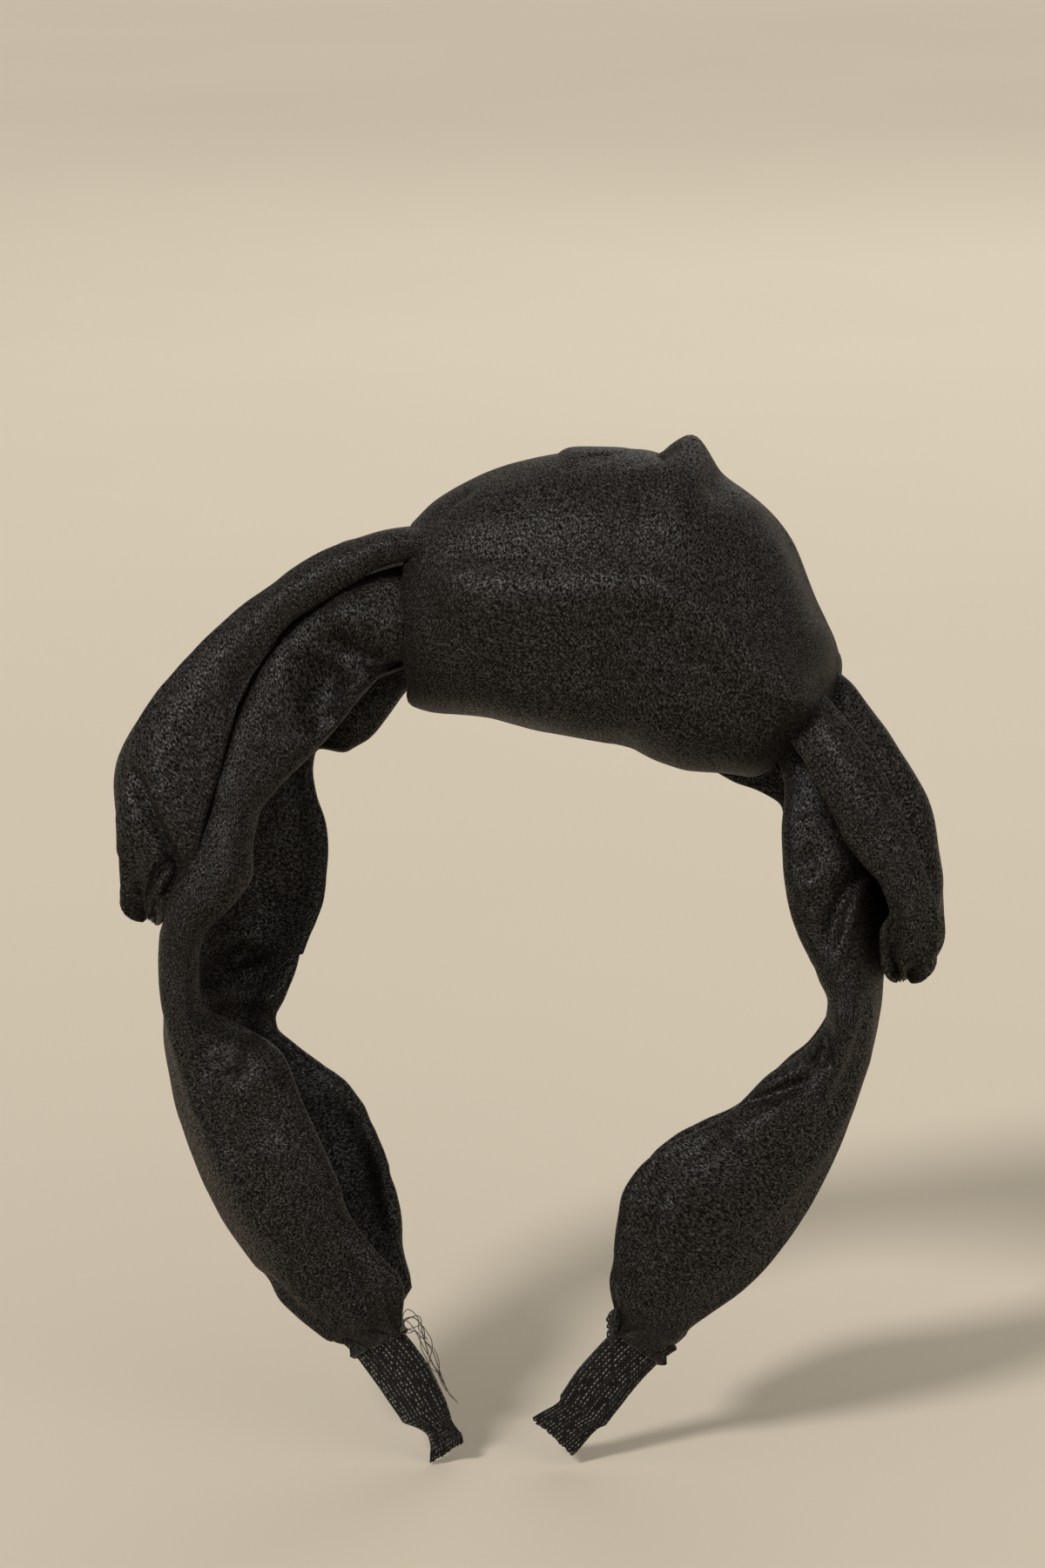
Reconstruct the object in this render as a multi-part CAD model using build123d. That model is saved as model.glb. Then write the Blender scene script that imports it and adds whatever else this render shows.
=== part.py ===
from build123d import *
import math
import os

# Knotted headband.  Millimetres.  +X to the wearer's left-hand side of the hoop as seen from the front,
# +Y through the hoop from front to back, +Z up.  The origin is the head seat: the middle of the
# underside of the knot, where the crown of the head touches.

# ---------------------------------------------------------------- driving dimensions
CROWN_CENTRE_Z = -57.0      # centre of the round upper part of the hoop
CROWN_R = 62.3              # radius of the core's mid-line over the crown
CORE_WIDTH = 6.0            # springy strip, across
CORE_THICK = 1.6            # springy strip, thickness
CORE_GAP = 0.4              # slack between the strip and what surrounds it
SLEEVE_W = 10.4             # knitted end sleeve, flat width
SLEEVE_T = 4.4              # knitted end sleeve, thickness over the strip
SLEEVE_LAP = 5.0            # length of the sleeve inside the cover's mouth
SLEEVE_GAP = 0.3            # slack between the cover's mouth and the sleeve
FLARE_W = 9.6               # cut end of the sleeve beyond the strip
FLARE_T = 1.8
KNOT_WALL = 2.6             # cloth of the knot, all its turns together
KNOT_GAP = 0.9              # slack between the knot's cloth and its filling
TAIL_GAP = 0.5              # slack between a tail and the cover it lies on
THREAD_T = 0.7              # thickness of the binding thread's turns
THREAD_GAP = 0.12           # slack between the binding and the gathered mouth

# mid-line of the strip below the round part, (x, z)
LEFT_LINE = [(-61.4, -66.6), (-59.8, -75.2), (-56.7, -86.7), (-50.9, -99.4), (-43.4, -109.4),
             (-35.0, -116.6), (-26.9, -122.2), (-21.6, -128.4), (-17.7, -134.7), (-15.2, -139.4)]
RIGHT_LINE = [(61.6, -65.6), (59.8, -72.3), (55.2, -84.8), (46.9, -97.8), (37.5, -109.5),
              (29.7, -117.2), (21.9, -122.7), (15.6, -129.4), (10.8, -136.0)]
# degrees round the crown (from the top) where the mid-line is sampled
CROWN_STEPS = [15, 30, 45, 60, 75, 88]
# the strip's outer face turns toward the front on the way down: (distance below the seat, degrees)
TWIST = [(0.0, 0.0), (45.0, 0.0), (75.0, 16.0), (100.0, 30.0), (118.0, 52.0), (126.0, 66.0), (150.0, 66.0)]

# cover sections along each arm.  place: degrees from the top (< 100) or -z of the mid-line (marked "z").
# out: how far the cloth stands outside the mid-line; near, far: how far its front and back edges reach
# into the hoop; wn, wf: how far they reach to the front and to the back.
LEFT_COVER = [  # place, out, near, far, wn, wf
    (("a", 18.4), 12.0, 10.0, 14.0, 15.0, 15.0),
    (("a", 35.0), 9.6, 11.5, 15.0, 18.0, 18.0),
    (("a", 55.0), 4.6, 11.0, 19.0, 20.0, 20.0),
    (("a", 75.0), 3.0, 12.0, 25.0, 20.0, 21.0),
    (("a", 88.0), 2.6, 8.0, 23.0, 18.0, 20.0),
    (("z", 66.6), 2.9, 8.5, 17.5, 17.0, 19.0),
    (("z", 75.2), 3.0, 18.0, 24.0, 18.0, 20.0),
    (("z", 86.7), 3.1, 19.5, 25.5, 18.5, 19.0),
    (("z", 99.4), 3.2, 18.5, 28.5, 17.0, 18.0),
    (("z", 109.4), 5.0, 15.5, 26.0, 14.0, 15.0),
    (("z", 114.9), 5.6, 11.0, 21.0, 11.5, 12.5),
]
RIGHT_COVER = [
    (("a", 54.7), 5.0, 6.5, 10.0, 15.0, 16.0),
    (("a", 66.0), 5.0, 7.5, 11.0, 17.0, 18.0),
    (("a", 76.0), 4.0, 7.5, 13.0, 18.0, 20.0),
    (("a", 88.0), 3.2, 7.5, 12.0, 18.0, 20.0),
    (("z", 65.6), 2.9, 7.0, 8.5, 17.0, 18.0),
    (("z", 72.3), 3.0, 10.5, 12.0, 17.0, 18.0),
    (("z", 84.8), 3.1, 13.5, 15.0, 18.0, 18.0),
    (("z", 97.8), 3.2, 18.5, 20.0, 18.0, 18.0),
    (("z", 109.5), 4.4, 19.5, 21.5, 15.0, 16.0),
    (("z", 115.2), 5.2, 15.0, 17.5, 12.0, 13.0),
]
ROOT = ((18.4, 40.0), (54.7, 80.0))   # degrees from the top: where each cover leaves the knot, and where its lean has gone
ROOT_LEAN = (-18.4, -35.3)            # how far the root sections lean to lie along the knot's side
LEFT_MOUTH = 121.6          # -z of the mid-line where each cover ends round its sleeve
RIGHT_MOUTH = 122.0
MOUTH_W = 13.0              # cover's gathered mouth, outside
MOUTH_T = 7.4

# tails lying on the outside of the covers: place, least and greatest distance outside the mid-line,
# half-width, offset to the back
LEFT_TAIL = [(("a", 18.4), 12.8, 20.4, 11.0, 0.0), (("a", 35.0), 10.4, 18.8, 14.0, 0.0), (("a", 50.0), 6.0, 19.0, 15.5, -1.0),
             (("a", 65.0), 4.4, 15.6, 15.5, -1.5), (("a", 78.0), 3.8, 12.8, 12.0, -2.0), (("a", 85.0), 3.6, 8.6, 6.5, -3.0)]
RIGHT_TAIL = [(("a", 47.5), 14.6, 17.2, 6.5, 0.0), (("a", 54.0), 10.4, 16.4, 10.0, -1.0), (("a", 62.0), 7.0, 15.6, 12.5, -1.5),
              (("a", 72.0), 5.6, 15.4, 13.0, -1.5), (("a", 82.0), 4.8, 14.0, 12.0, -2.0), (("a", 90.0), 4.6, 10.6, 8.0, -3.0)]

# knot, sections across X: x, z bottom, z top, half-depth, z of its middle
KNOT = [
    (-19.0, -6.5, 21.0, 15.0), (-13.0, -13.5, 29.0, 22.5), (-2.0, -15.0, 33.0, 26.5), (12.0, -16.5, 35.5, 28.0),
    (26.0, -18.5, 36.5, 28.0), (38.0, -20.5, 32.0, 26.5), (47.0, -20.5, 22.0, 23.0), (53.0, -18.5, 9.0, 17.0),
    (56.0, -15.0, -1.0, 9.0),
]
PEAK = (30.0, 3.4)          # x and rise of the pinched point on the knot's top edge


# ---------------------------------------------------------------- the strip's mid-line
def crown_point(deg):
    a = math.radians(deg)
    return (CROWN_R * math.sin(a), CROWN_CENTRE_Z + CROWN_R * math.cos(a))


LINE = ([p for p in reversed(LEFT_LINE)] + [crown_point(-a) for a in reversed(CROWN_STEPS)] + [crown_point(0)]
        + [crown_point(a) for a in CROWN_STEPS] + list(RIGHT_LINE))


def on_line(u):
    """Point and direction on the smooth line through LINE, at place u counted in its points."""
    i = min(max(int(math.floor(u)), 0), len(LINE) - 2)
    t = u - i
    p1, p2 = LINE[i], LINE[i + 1]
    p0 = LINE[i - 1] if i else (2 * p1[0] - p2[0], 2 * p1[1] - p2[1])
    p3 = LINE[i + 2] if i + 2 < len(LINE) else (2 * p2[0] - p1[0], 2 * p2[1] - p1[1])
    point, slope = [], []
    for a, b, c, d in zip(p0, p1, p2, p3):
        m1, m2 = (c - a) / 2, (d - b) / 2
        point.append((2 * t**3 - 3 * t**2 + 1) * b + (t**3 - 2 * t**2 + t) * m1 + (3 * t**2 - 2 * t**3) * c + (t**3 - t**2) * m2)
        slope.append((6 * t**2 - 6 * t) * b + (3 * t**2 - 4 * t + 1) * m1 + (6 * t - 6 * t**2) * c + (3 * t**2 - 2 * t) * m2)
    size = math.hypot(*slope)
    return point, [s / size for s in slope]


def place_on(side, place):
    """u of a place on the left (-1) or right (+1) arm."""
    middle = len(LEFT_LINE) + len(CROWN_STEPS)
    low, high = 0.0, float(len(CROWN_STEPS) + (len(LEFT_LINE) if side < 0 else len(RIGHT_LINE)))
    kind, value = place
    for _ in range(50):
        half = (low + high) / 2
        p, _d = on_line(middle + side * half)
        if kind == "z":
            before = -p[1] < value
        else:
            before = math.degrees(math.atan2(side * p[0], p[1] - CROWN_CENTRE_Z)) < value
        low, high = (half, high) if before else (low, half)
    return middle + side * (low + high) / 2


def twist_at(z):
    d = -z
    if d <= TWIST[0][0]:
        return TWIST[0][1]
    for (d0, a0), (d1, a1) in zip(TWIST, TWIST[1:]):
        if d <= d1:
            s = (d - d0) / (d1 - d0)
            return a0 + (a1 - a0) * s * s * (3 - 2 * s)
    return TWIST[-1][1]


def frame_at(u):
    """Middle, inward direction and twist of the section at u."""
    (x, z), (tx, tz) = on_line(u)
    return (x, z), (tz, -tx), math.copysign(twist_at(z), x)   # inward is to the right of the left-to-right line


def section_points(u, pairs):
    (x, z), (nx, nz), _ = frame_at(u)
    return [Vector(x + r * nx, y, z + r * nz) for r, y in pairs]


def leaning_points(u, pairs):
    """As section_points, in a plane that leans over to lie along the knot's side near the knot."""
    (x, z), (nx, nz), _ = frame_at(u)
    around = math.degrees(math.atan2(x, z - CROWN_CENTRE_Z))
    root, clear = ROOT[0 if x < 0 else 1]
    part = min(1.0, max(0.0, (clear - abs(around)) / (clear - root)))
    lean = math.radians(ROOT_LEAN[0 if x < 0 else 1] * part)
    nx, nz = nx * math.cos(lean) - nz * math.sin(lean), nx * math.sin(lean) + nz * math.cos(lean)
    return [Vector(x + r * nx, y, z + r * nz) for r, y in pairs]


def rounded(pairs, count):
    """count points on the smooth closed curve through pairs."""
    n, result = len(pairs), []
    for k in range(count):
        v = k * n / count
        i, t = int(v), v - int(v)
        p0, p1, p2, p3 = (pairs[(i + j) % n] for j in (-1, 0, 1, 2))
        result.append(tuple(
            ((2 * b) + (c - a) * t + (2 * a - 5 * b + 4 * c - d) * t * t + (3 * b - a - 3 * c + d) * t**3) / 2
            for a, b, c, d in zip(p0, p1, p2, p3)))
    return result


def rows_between(rows, count):
    """count rows at even steps through the table rows (place u first), smoothly interpolated."""
    result = []
    for k in range(count):
        v = (len(rows) - 1) * k / (count - 1)
        i = min(int(v), len(rows) - 2)
        t = v - i
        p0, p1, p2, p3 = rows[max(i - 1, 0)], rows[i], rows[i + 1], rows[min(i + 2, len(rows) - 1)]
        result.append(tuple(
            ((2 * b) + (c - a) * t + (2 * a - 5 * b + 4 * c - d) * t * t + (3 * b - a - 3 * c + d) * t**3) / 2
            for a, b, c, d in zip(p0, p1, p2, p3)))
    return result


def closed(points):
    return Wire.make_polygon(points, close=True)


def skin_through(wires):
    return Solid.make_loft(wires, ruled=True)


def oval(width, thick, twist, count=12, shift=0.0, power=2.6):
    """Rounded strip section in (inward, back) pairs; twist turns its outer face to the front."""
    a = math.radians(twist)
    pairs = []
    for k in range(count):
        t = 2 * math.pi * k / count
        c, s = math.cos(t), math.sin(t)
        w = width / 2 * math.copysign(abs(s) ** (2 / power), s)
        h = thick / 2 * math.copysign(abs(c) ** (2 / power), c)
        pairs.append((shift + h * math.cos(a) - w * math.sin(a), w * math.cos(a) + h * math.sin(a)))
    return pairs


def strip_solid(u_from, u_to, count, width, thick):
    """The strip, or the room for it, between two places."""
    wires = []
    for k in range(count):
        u = u_from + (u_to - u_from) * k / (count - 1)
        (_, _), _, twist = frame_at(u)
        a = math.radians(abs(twist))
        pairs = [(h * math.cos(a) - w * math.sin(a), w * math.cos(a) + h * math.sin(a))
                 for w, h in ((-width / 2, -thick / 2), (width / 2, -thick / 2), (width / 2, thick / 2), (-width / 2, thick / 2))]
        wires.append(closed(section_points(u, pairs)))
    return skin_through(wires)


# ---------------------------------------------------------------- cover sections
def cover_pairs(out, near, far, wn, wf):
    pairs = []
    for deg in (90, 62, 34):
        t = math.radians(deg)
        pairs.append((-out + (near + out) * (1 - math.cos(t)), -wn * math.sin(t)))
    pairs.append((-out, 0.0))
    for deg in (34, 62, 90):
        t = math.radians(deg)
        pairs.append((-out + (far + out) * (1 - math.cos(t)), wf * math.sin(t)))
    middle = max(4.6, 0.62 * (near + far) / 2)
    pairs += [(far - 0.2, wf * 0.78), (middle + 0.34 * (far - middle), wf * 0.40), (middle, 0.0),
              (middle + 0.34 * (near - middle), -wn * 0.40), (near - 0.2, -wn * 0.78)]
    return pairs


def mouth_pairs(width, thick, twist):
    """Mouth oval whose 12 points start at the front edge and run round the outside to the back, as the cover's do."""
    a = math.radians(twist)
    pairs = []
    for k in range(12):
        t = 2 * math.pi * k / 12
        c, s = math.cos(t), math.sin(t)
        w = -width / 2 * math.copysign(abs(c) ** 0.8, c)
        h = -thick / 2 * math.copysign(abs(s) ** 0.8, s)
        pairs.append((h * math.cos(a) - w * math.sin(a), w * math.cos(a) + h * math.sin(a)))
    return pairs


def cover(side, table, mouth):
    wires = []
    for u, *shape in rows_between([(place_on(side, row[0]), *row[1:]) for row in table], 2 * len(table) - 1):
        wires.append(closed(leaning_points(u, rounded(cover_pairs(*shape), 20))))
    for d in (3.2, 1.6, 0.0):
        u = place_on(side, ("z", mouth - d))
        t = abs(frame_at(u)[2])
        wires.append(closed(section_points(u, rounded(mouth_pairs(MOUTH_W, MOUTH_T, t), 20))))
    body = skin_through(wires)
    u0, u1 = place_on(side, table[0][0]), place_on(side, ("z", mouth))
    step = side * 0.3
    room = strip_solid(u0 - step, u1 + step, 26, CORE_WIDTH + 2 * CORE_GAP, CORE_THICK + 2 * CORE_GAP)
    lap = sleeve_outside(side, mouth, SLEEVE_GAP, True)
    return body - room - lap


# ---------------------------------------------------------------- end sleeves
def sleeve_start(mouth):
    return mouth - 0.72 * SLEEVE_LAP


def sleeve_outside(side, mouth, extra, open_end):
    """Sleeve round the strip's end; extra widens it, open_end carries it past the cover's mouth only."""
    end = len(LINE) - 1 if side > 0 else 0
    u0 = place_on(side, ("z", sleeve_start(mouth) - (0.3 if open_end else 0.0)))
    wires = []
    stop = place_on(side, ("z", mouth + 2.5)) if open_end else end - side * 0.12
    for k in range(5):
        u = u0 + (stop - u0) * k / 4
        t = abs(frame_at(u)[2])
        wires.append(closed(section_points(u, oval(SLEEVE_W + 2 * extra, SLEEVE_T + 2 * extra, t))))
    if not open_end:
        (x, z), (nx, nz), t = frame_at(end)
        (_, _), (tx, tz) = on_line(end)
        tx, tz = side * tx, side * tz
        for along, w, th in ((1.8, 8.6, 3.4), (3.6, 7.6, 2.6), (5.4, FLARE_W - 0.9, FLARE_T), (7.6, FLARE_W, FLARE_T)):
            pts = [Vector(x + tx * along + r * nx, y, z + tz * along + r * nz) for r, y in oval(w, th, abs(t))]
            wires.append(closed(pts))
    return skin_through(wires)


def end_sleeve(side, mouth):
    end = len(LINE) - 1 if side > 0 else 0
    room = strip_solid(place_on(side, ("z", sleeve_start(mouth))) - side * 0.4, end + side * 0.1, 10,
                       CORE_WIDTH + 2 * CORE_GAP, CORE_THICK + 2 * CORE_GAP)
    return sleeve_outside(side, mouth, 0.0, False) - room


def binding(side, mouth):
    """Turns of thread round the gathered mouth."""
    rings = []
    for grow in (THREAD_GAP + THREAD_T, THREAD_GAP):
        wires = []
        lo, hi = (2.0, 0.7) if grow > THREAD_GAP else (2.4, 0.3)
        for d in (lo, hi):
            u = place_on(side, ("z", mouth - d))
            t = abs(frame_at(u)[2])
            wires.append(closed(section_points(u, rounded(mouth_pairs(MOUTH_W + 2 * grow, MOUTH_T + 2 * grow, t), 20))))
        rings.append(skin_through(wires))
    return rings[0] - rings[1]


# ---------------------------------------------------------------- tails
def cover_out(table, side, u):
    """out, near, far, wn, wf of the cover at u, between its sections."""
    rows = rows_between([(place_on(side, row[0]), *row[1:]) for row in table], 2 * len(table) - 1)
    rows.sort(key=lambda item: item[0])
    if u <= rows[0][0]:
        return rows[0][1:]
    for a, b in zip(rows, rows[1:]):
        if u <= b[0]:
            s = (u - a[0]) / (b[0] - a[0])
            return tuple(p + (q - p) * s for p, q in zip(a[1:], b[1:]))
    return rows[-1][1:]


def tail(side, table, cover_table):
    wires = []
    for u, least, most, half, shift in rows_between([(place_on(side, row[0]), *row[1:]) for row in table], 2 * len(table) - 1):
        out, near, far, wn, wf = cover_out(cover_table, side, u)

        def skin(y):
            w, reach = (wn, near) if y < 0 else (wf, far)
            c = math.sqrt(max(0.0, 1 - min(1.0, abs(y) / w) ** 2))
            return -out + (reach + out) * (1 - c)

        ys = [shift + half * k for k in (-1.0, -0.62, -0.22, 0.22, 0.62, 1.0)]
        inner = [(min(skin(y) - TAIL_GAP - 0.5, -least), y) for y in ys]
        outer = [(-least - (most - least) * math.sqrt(max(0.05, 1 - ((y - shift) / half) ** 2)), y)
                 for y in (ys[4] + 0.16 * half, ys[3] + 0.1 * half, shift, ys[2] - 0.1 * half, ys[1] - 0.16 * half)]
        wires.append(closed((leaning_points if side < 0 else section_points)(u, rounded(inner + outer, 18))))
    return skin_through(wires)


def tack(side, table, deep):
    """Short bar of stitches through the tail's end into the cover."""
    u = place_on(side, table[-1][0]) - side * 0.16
    r, y = -table[-1][1], table[-1][4]
    (x, z), (nx, nz), _ = frame_at(u)
    middle = Vector(x + r * nx, y, z + r * nz)
    frame = Plane(origin=middle, x_dir=(nx, 0, nz), z_dir=(0, 1, 0))
    bar = extrude(frame * Rectangle(deep, 0.9), amount=2.2, both=True)
    return bar.solid() if hasattr(bar, "solid") else bar


# ---------------------------------------------------------------- knot
def knot_section(x, low, high, half, inset=0.0):
    middle, tall = (low + high) / 2, (high - low) / 2 - inset
    deep = half - inset
    pts = []
    for k in range(24):
        t = 2 * math.pi * k / 24
        c, s = math.cos(t), math.sin(t)
        y = deep * math.copysign(abs(c) ** 0.84, c)
        z = middle + tall * math.copysign(abs(s) ** 0.84, s)
        # the underside is hollowed a little where it sits over the head
        if s < -0.5:
            z += 4.2 * (abs(s) - 0.5) * 2 * (1 if inset == 0 else 0.9)
        if s > 0:
            z += (PEAK[1] - 0.5 * inset) * math.exp(-((x - PEAK[0]) / 6.0) ** 2) * s**6
        pts.append(Vector(x, y, z))
    return closed(pts)


def knot_blob(inset):
    rows = rows_between(KNOT, 2 * len(KNOT) - 1)
    if inset:
        first, last = KNOT[0][0] + inset + 1.0, KNOT[-2][0] - 0.4 * inset
        rows = [row for row in rows if first <= row[0] <= last]
    return skin_through([knot_section(x, low, high, half, inset) for x, low, high, half in rows])


def knot():
    outside = knot_blob(0.0)
    filling_room = knot_blob(KNOT_WALL)
    middle = len(LEFT_LINE) + len(CROWN_STEPS)
    room = strip_solid(place_on(-1, ("a", 26.0)), place_on(1, ("a", 72.0)), 14, CORE_WIDTH + 2 * CORE_GAP, CORE_THICK + 2 * CORE_GAP)
    wrap = outside - filling_room - room
    pad = knot_blob(KNOT_WALL + KNOT_GAP) - room
    return wrap, pad


def one(shape):
    solids = shape.solids()
    solids.sort(key=lambda s: s.volume)
    return solids[-1]


core_band = strip_solid(0.0, float(len(LINE) - 1), 61, CORE_WIDTH, CORE_THICK)
knot_wrap, knot_pad = knot()
pieces = {
    "core_band": core_band,
    "cover_left": cover(-1, LEFT_COVER, LEFT_MOUTH),
    "cover_right": cover(1, RIGHT_COVER, RIGHT_MOUTH),
    "end_sleeve_left": end_sleeve(-1, LEFT_MOUTH),
    "end_sleeve_right": end_sleeve(1, RIGHT_MOUTH),
    "binding_thread_left": binding(-1, LEFT_MOUTH),
    "binding_thread_right": binding(1, RIGHT_MOUTH),
    "tail_left": tail(-1, LEFT_TAIL, LEFT_COVER),
    "tail_right": tail(1, RIGHT_TAIL, RIGHT_COVER),
    "tack_stitches_left": tack(-1, LEFT_TAIL, 4.6),
    "tack_stitches_right": tack(1, RIGHT_TAIL, 4.6),
    "knot_wrap": knot_wrap,
    "knot_pad": knot_pad,
}

os.makedirs("parts", exist_ok=True)
for name, shape in pieces.items():
    solid = one(shape)
    box = solid.bounding_box()
    print(name, len(shape.solids()), round(solid.volume / 1000, 2), "cm3", [round(v, 1) for v in (*box.min, *box.max)], solid.is_valid)
    export_step(solid, f"parts/{name}.step")
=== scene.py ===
"""Knotted headband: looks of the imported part.  Metres, the part's own frame: +X toward the knot's side,
+Y to the back of the hoop, +Z up, origin at the head seat.  Shapes below are worked out in millimetres."""

import math

import bpy
import numpy as np
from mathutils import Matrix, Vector


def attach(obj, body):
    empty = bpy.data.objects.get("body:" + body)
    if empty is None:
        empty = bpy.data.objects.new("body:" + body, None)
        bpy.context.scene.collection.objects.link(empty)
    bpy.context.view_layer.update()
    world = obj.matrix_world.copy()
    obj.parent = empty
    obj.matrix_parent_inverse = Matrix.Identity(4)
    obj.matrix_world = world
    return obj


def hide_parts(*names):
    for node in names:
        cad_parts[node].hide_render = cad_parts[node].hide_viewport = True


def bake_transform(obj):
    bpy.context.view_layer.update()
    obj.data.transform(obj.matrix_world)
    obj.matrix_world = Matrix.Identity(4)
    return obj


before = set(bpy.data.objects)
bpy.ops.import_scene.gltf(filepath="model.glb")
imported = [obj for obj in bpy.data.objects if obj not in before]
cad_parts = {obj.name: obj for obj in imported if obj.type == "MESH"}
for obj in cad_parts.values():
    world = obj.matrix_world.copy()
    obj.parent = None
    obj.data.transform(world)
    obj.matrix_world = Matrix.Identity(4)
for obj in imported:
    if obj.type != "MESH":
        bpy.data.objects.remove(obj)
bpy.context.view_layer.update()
MM = 0.001


# =============================================================== small tools
def curve_through(keys, values, at):
    """Smooth interpolation of values (rows) given at keys, without overshoot at uneven steps."""
    keys = np.asarray(keys, float)
    values = np.asarray(values, float)
    flat = values.ndim == 1
    if flat:
        values = values[:, None]
    at = np.clip(np.asarray(at, float), keys[0], keys[-1])
    step = np.diff(keys)[:, None]
    slope = np.diff(values, axis=0) / step
    tangent = np.zeros_like(values)
    tangent[0], tangent[-1] = slope[0], slope[-1]
    same = slope[:-1] * slope[1:] > 0
    w1 = 2 * step[1:] + step[:-1]
    w2 = step[1:] + 2 * step[:-1]
    with np.errstate(divide="ignore", invalid="ignore"):
        mean = (w1 + w2) / (w1 / slope[:-1] + w2 / slope[1:])
    tangent[1:-1] = np.where(same, mean, 0.0)
    i = np.clip(np.searchsorted(keys, at, side="right") - 1, 0, len(keys) - 2)
    h = step[i, 0]
    t = ((at - keys[i]) / h)[:, None]
    h = h[:, None]
    out = ((2 * t**3 - 3 * t**2 + 1) * values[i] + (t**3 - 2 * t**2 + t) * h * tangent[i]
           + (3 * t**2 - 2 * t**3) * values[i + 1] + (t**3 - t**2) * h * tangent[i + 1])
    return out[:, 0] if flat else out


def soft_curve(keys, values, at):
    """Catmull-Rom through rows at keys."""
    keys = np.asarray(keys, float)
    values = np.asarray(values, float)
    at = np.clip(np.asarray(at, float), keys[0], keys[-1])
    tangent = np.zeros_like(values)
    tangent[1:-1] = (values[2:] - values[:-2]) / (keys[2:] - keys[:-2])[:, None]
    tangent[0] = (values[1] - values[0]) / (keys[1] - keys[0])
    tangent[-1] = (values[-1] - values[-2]) / (keys[-1] - keys[-2])
    i = np.clip(np.searchsorted(keys, at, side="right") - 1, 0, len(keys) - 2)
    h = (keys[i + 1] - keys[i])[:, None]
    t = ((at - keys[i]))[:, None] / h
    return ((2 * t**3 - 3 * t**2 + 1) * values[i] + (t**3 - 2 * t**2 + t) * h * tangent[i]
            + (3 * t**2 - 2 * t**3) * values[i + 1] + (t**3 - t**2) * h * tangent[i + 1])


def loop_points(control, per):
    """control (stations, K, 2) -> (stations, K * per, 2): smooth closed loops."""
    p0, p1, p2, p3 = (np.roll(control, s, axis=1) for s in (1, 0, -1, -2))
    parts = []
    for k in range(per):
        t = k / per
        parts.append(0.5 * (2 * p1 + (p2 - p0) * t + (2 * p0 - 5 * p1 + 4 * p2 - p3) * t * t
                            + (3 * p1 - p0 - 3 * p2 + p3) * t**3))
    out = np.stack(parts, axis=2)
    return out.reshape(control.shape[0], -1, control.shape[2])


def smooth(x, a, b):
    t = np.clip((np.asarray(x, float) - a) / (b - a), 0, 1)
    return t * t * (3 - 2 * t)


def lattice(seed):
    return np.random.default_rng(seed).uniform(-1, 1, (32, 32, 32))


_LATTICES = {}


def noise(points, size, seed=0):
    """Smooth noise, -1 to 1, of points in millimetres with features of that size."""
    if seed not in _LATTICES:
        _LATTICES[seed] = lattice(seed + 11)
    table = _LATTICES[seed]
    p = np.asarray(points, float) / size + 1000.37
    i = np.floor(p).astype(int)
    f = p - i
    f = f * f * f * (f * (f * 6 - 15) + 10)
    total = 0
    for dx in (0, 1):
        for dy in (0, 1):
            for dz in (0, 1):
                w = (np.where(dx, f[..., 0], 1 - f[..., 0]) * np.where(dy, f[..., 1], 1 - f[..., 1])
                     * np.where(dz, f[..., 2], 1 - f[..., 2]))
                total = total + w * table[(i[..., 0] + dx) % 32, (i[..., 1] + dy) % 32, (i[..., 2] + dz) % 32]
    return total


def grid_normals(grid, closed_v=True):
    """Outward unit normals of a (stations, around, 3) grid; around is a closed loop."""
    du = np.gradient(grid, axis=0)
    dv = (np.roll(grid, -1, axis=1) - np.roll(grid, 1, axis=1)) if closed_v else np.gradient(grid, axis=1)
    n = np.cross(du, dv)
    n /= np.maximum(np.linalg.norm(n, axis=2, keepdims=True), 1e-9)
    return n


def relax(grid, times, share=0.5, keep_ends=True, mask=None):
    """Evens the grid out, as cloth does, where mask lets it."""
    for _ in range(times):
        around = (np.roll(grid, 1, axis=1) + np.roll(grid, -1, axis=1)) / 2
        along = grid.copy()
        along[1:-1] = (grid[2:] + grid[:-2]) / 2
        mean = (around + along) / 2
        step = (mean - grid) * share
        if keep_ends:
            step[0] = step[-1] = 0
        if mask is not None:
            step = step * mask[..., None]
        grid = grid + step
    return grid


def stroke_depth(points, line, radius, taper=True):
    """0 to 1: how near points (…, 2) are to a drawn line [(a, b), …], fading with a bell of that radius."""
    line = np.asarray(line, float)
    best = np.full(points.shape[:-1], 1e9)
    place = np.zeros(points.shape[:-1])
    lengths = np.concatenate([[0], np.cumsum(np.linalg.norm(np.diff(line, axis=0), axis=1))])
    for k in range(len(line) - 1):
        a, b = line[k], line[k + 1]
        ab = b - a
        t = np.clip(((points - a) @ ab) / max(ab @ ab, 1e-9), 0, 1)
        d = np.linalg.norm(points - (a + t[..., None] * ab), axis=-1)
        closer = d < best
        best = np.where(closer, d, best)
        place = np.where(closer, lengths[k] + t * (lengths[k + 1] - lengths[k]), place)
    value = np.exp(-(best / radius) ** 2)
    if taper:
        share = place / max(lengths[-1], 1e-9)
        value = value * smooth(share, -0.12, 0.18) * smooth(1 - share, -0.12, 0.18)
    return value


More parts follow.
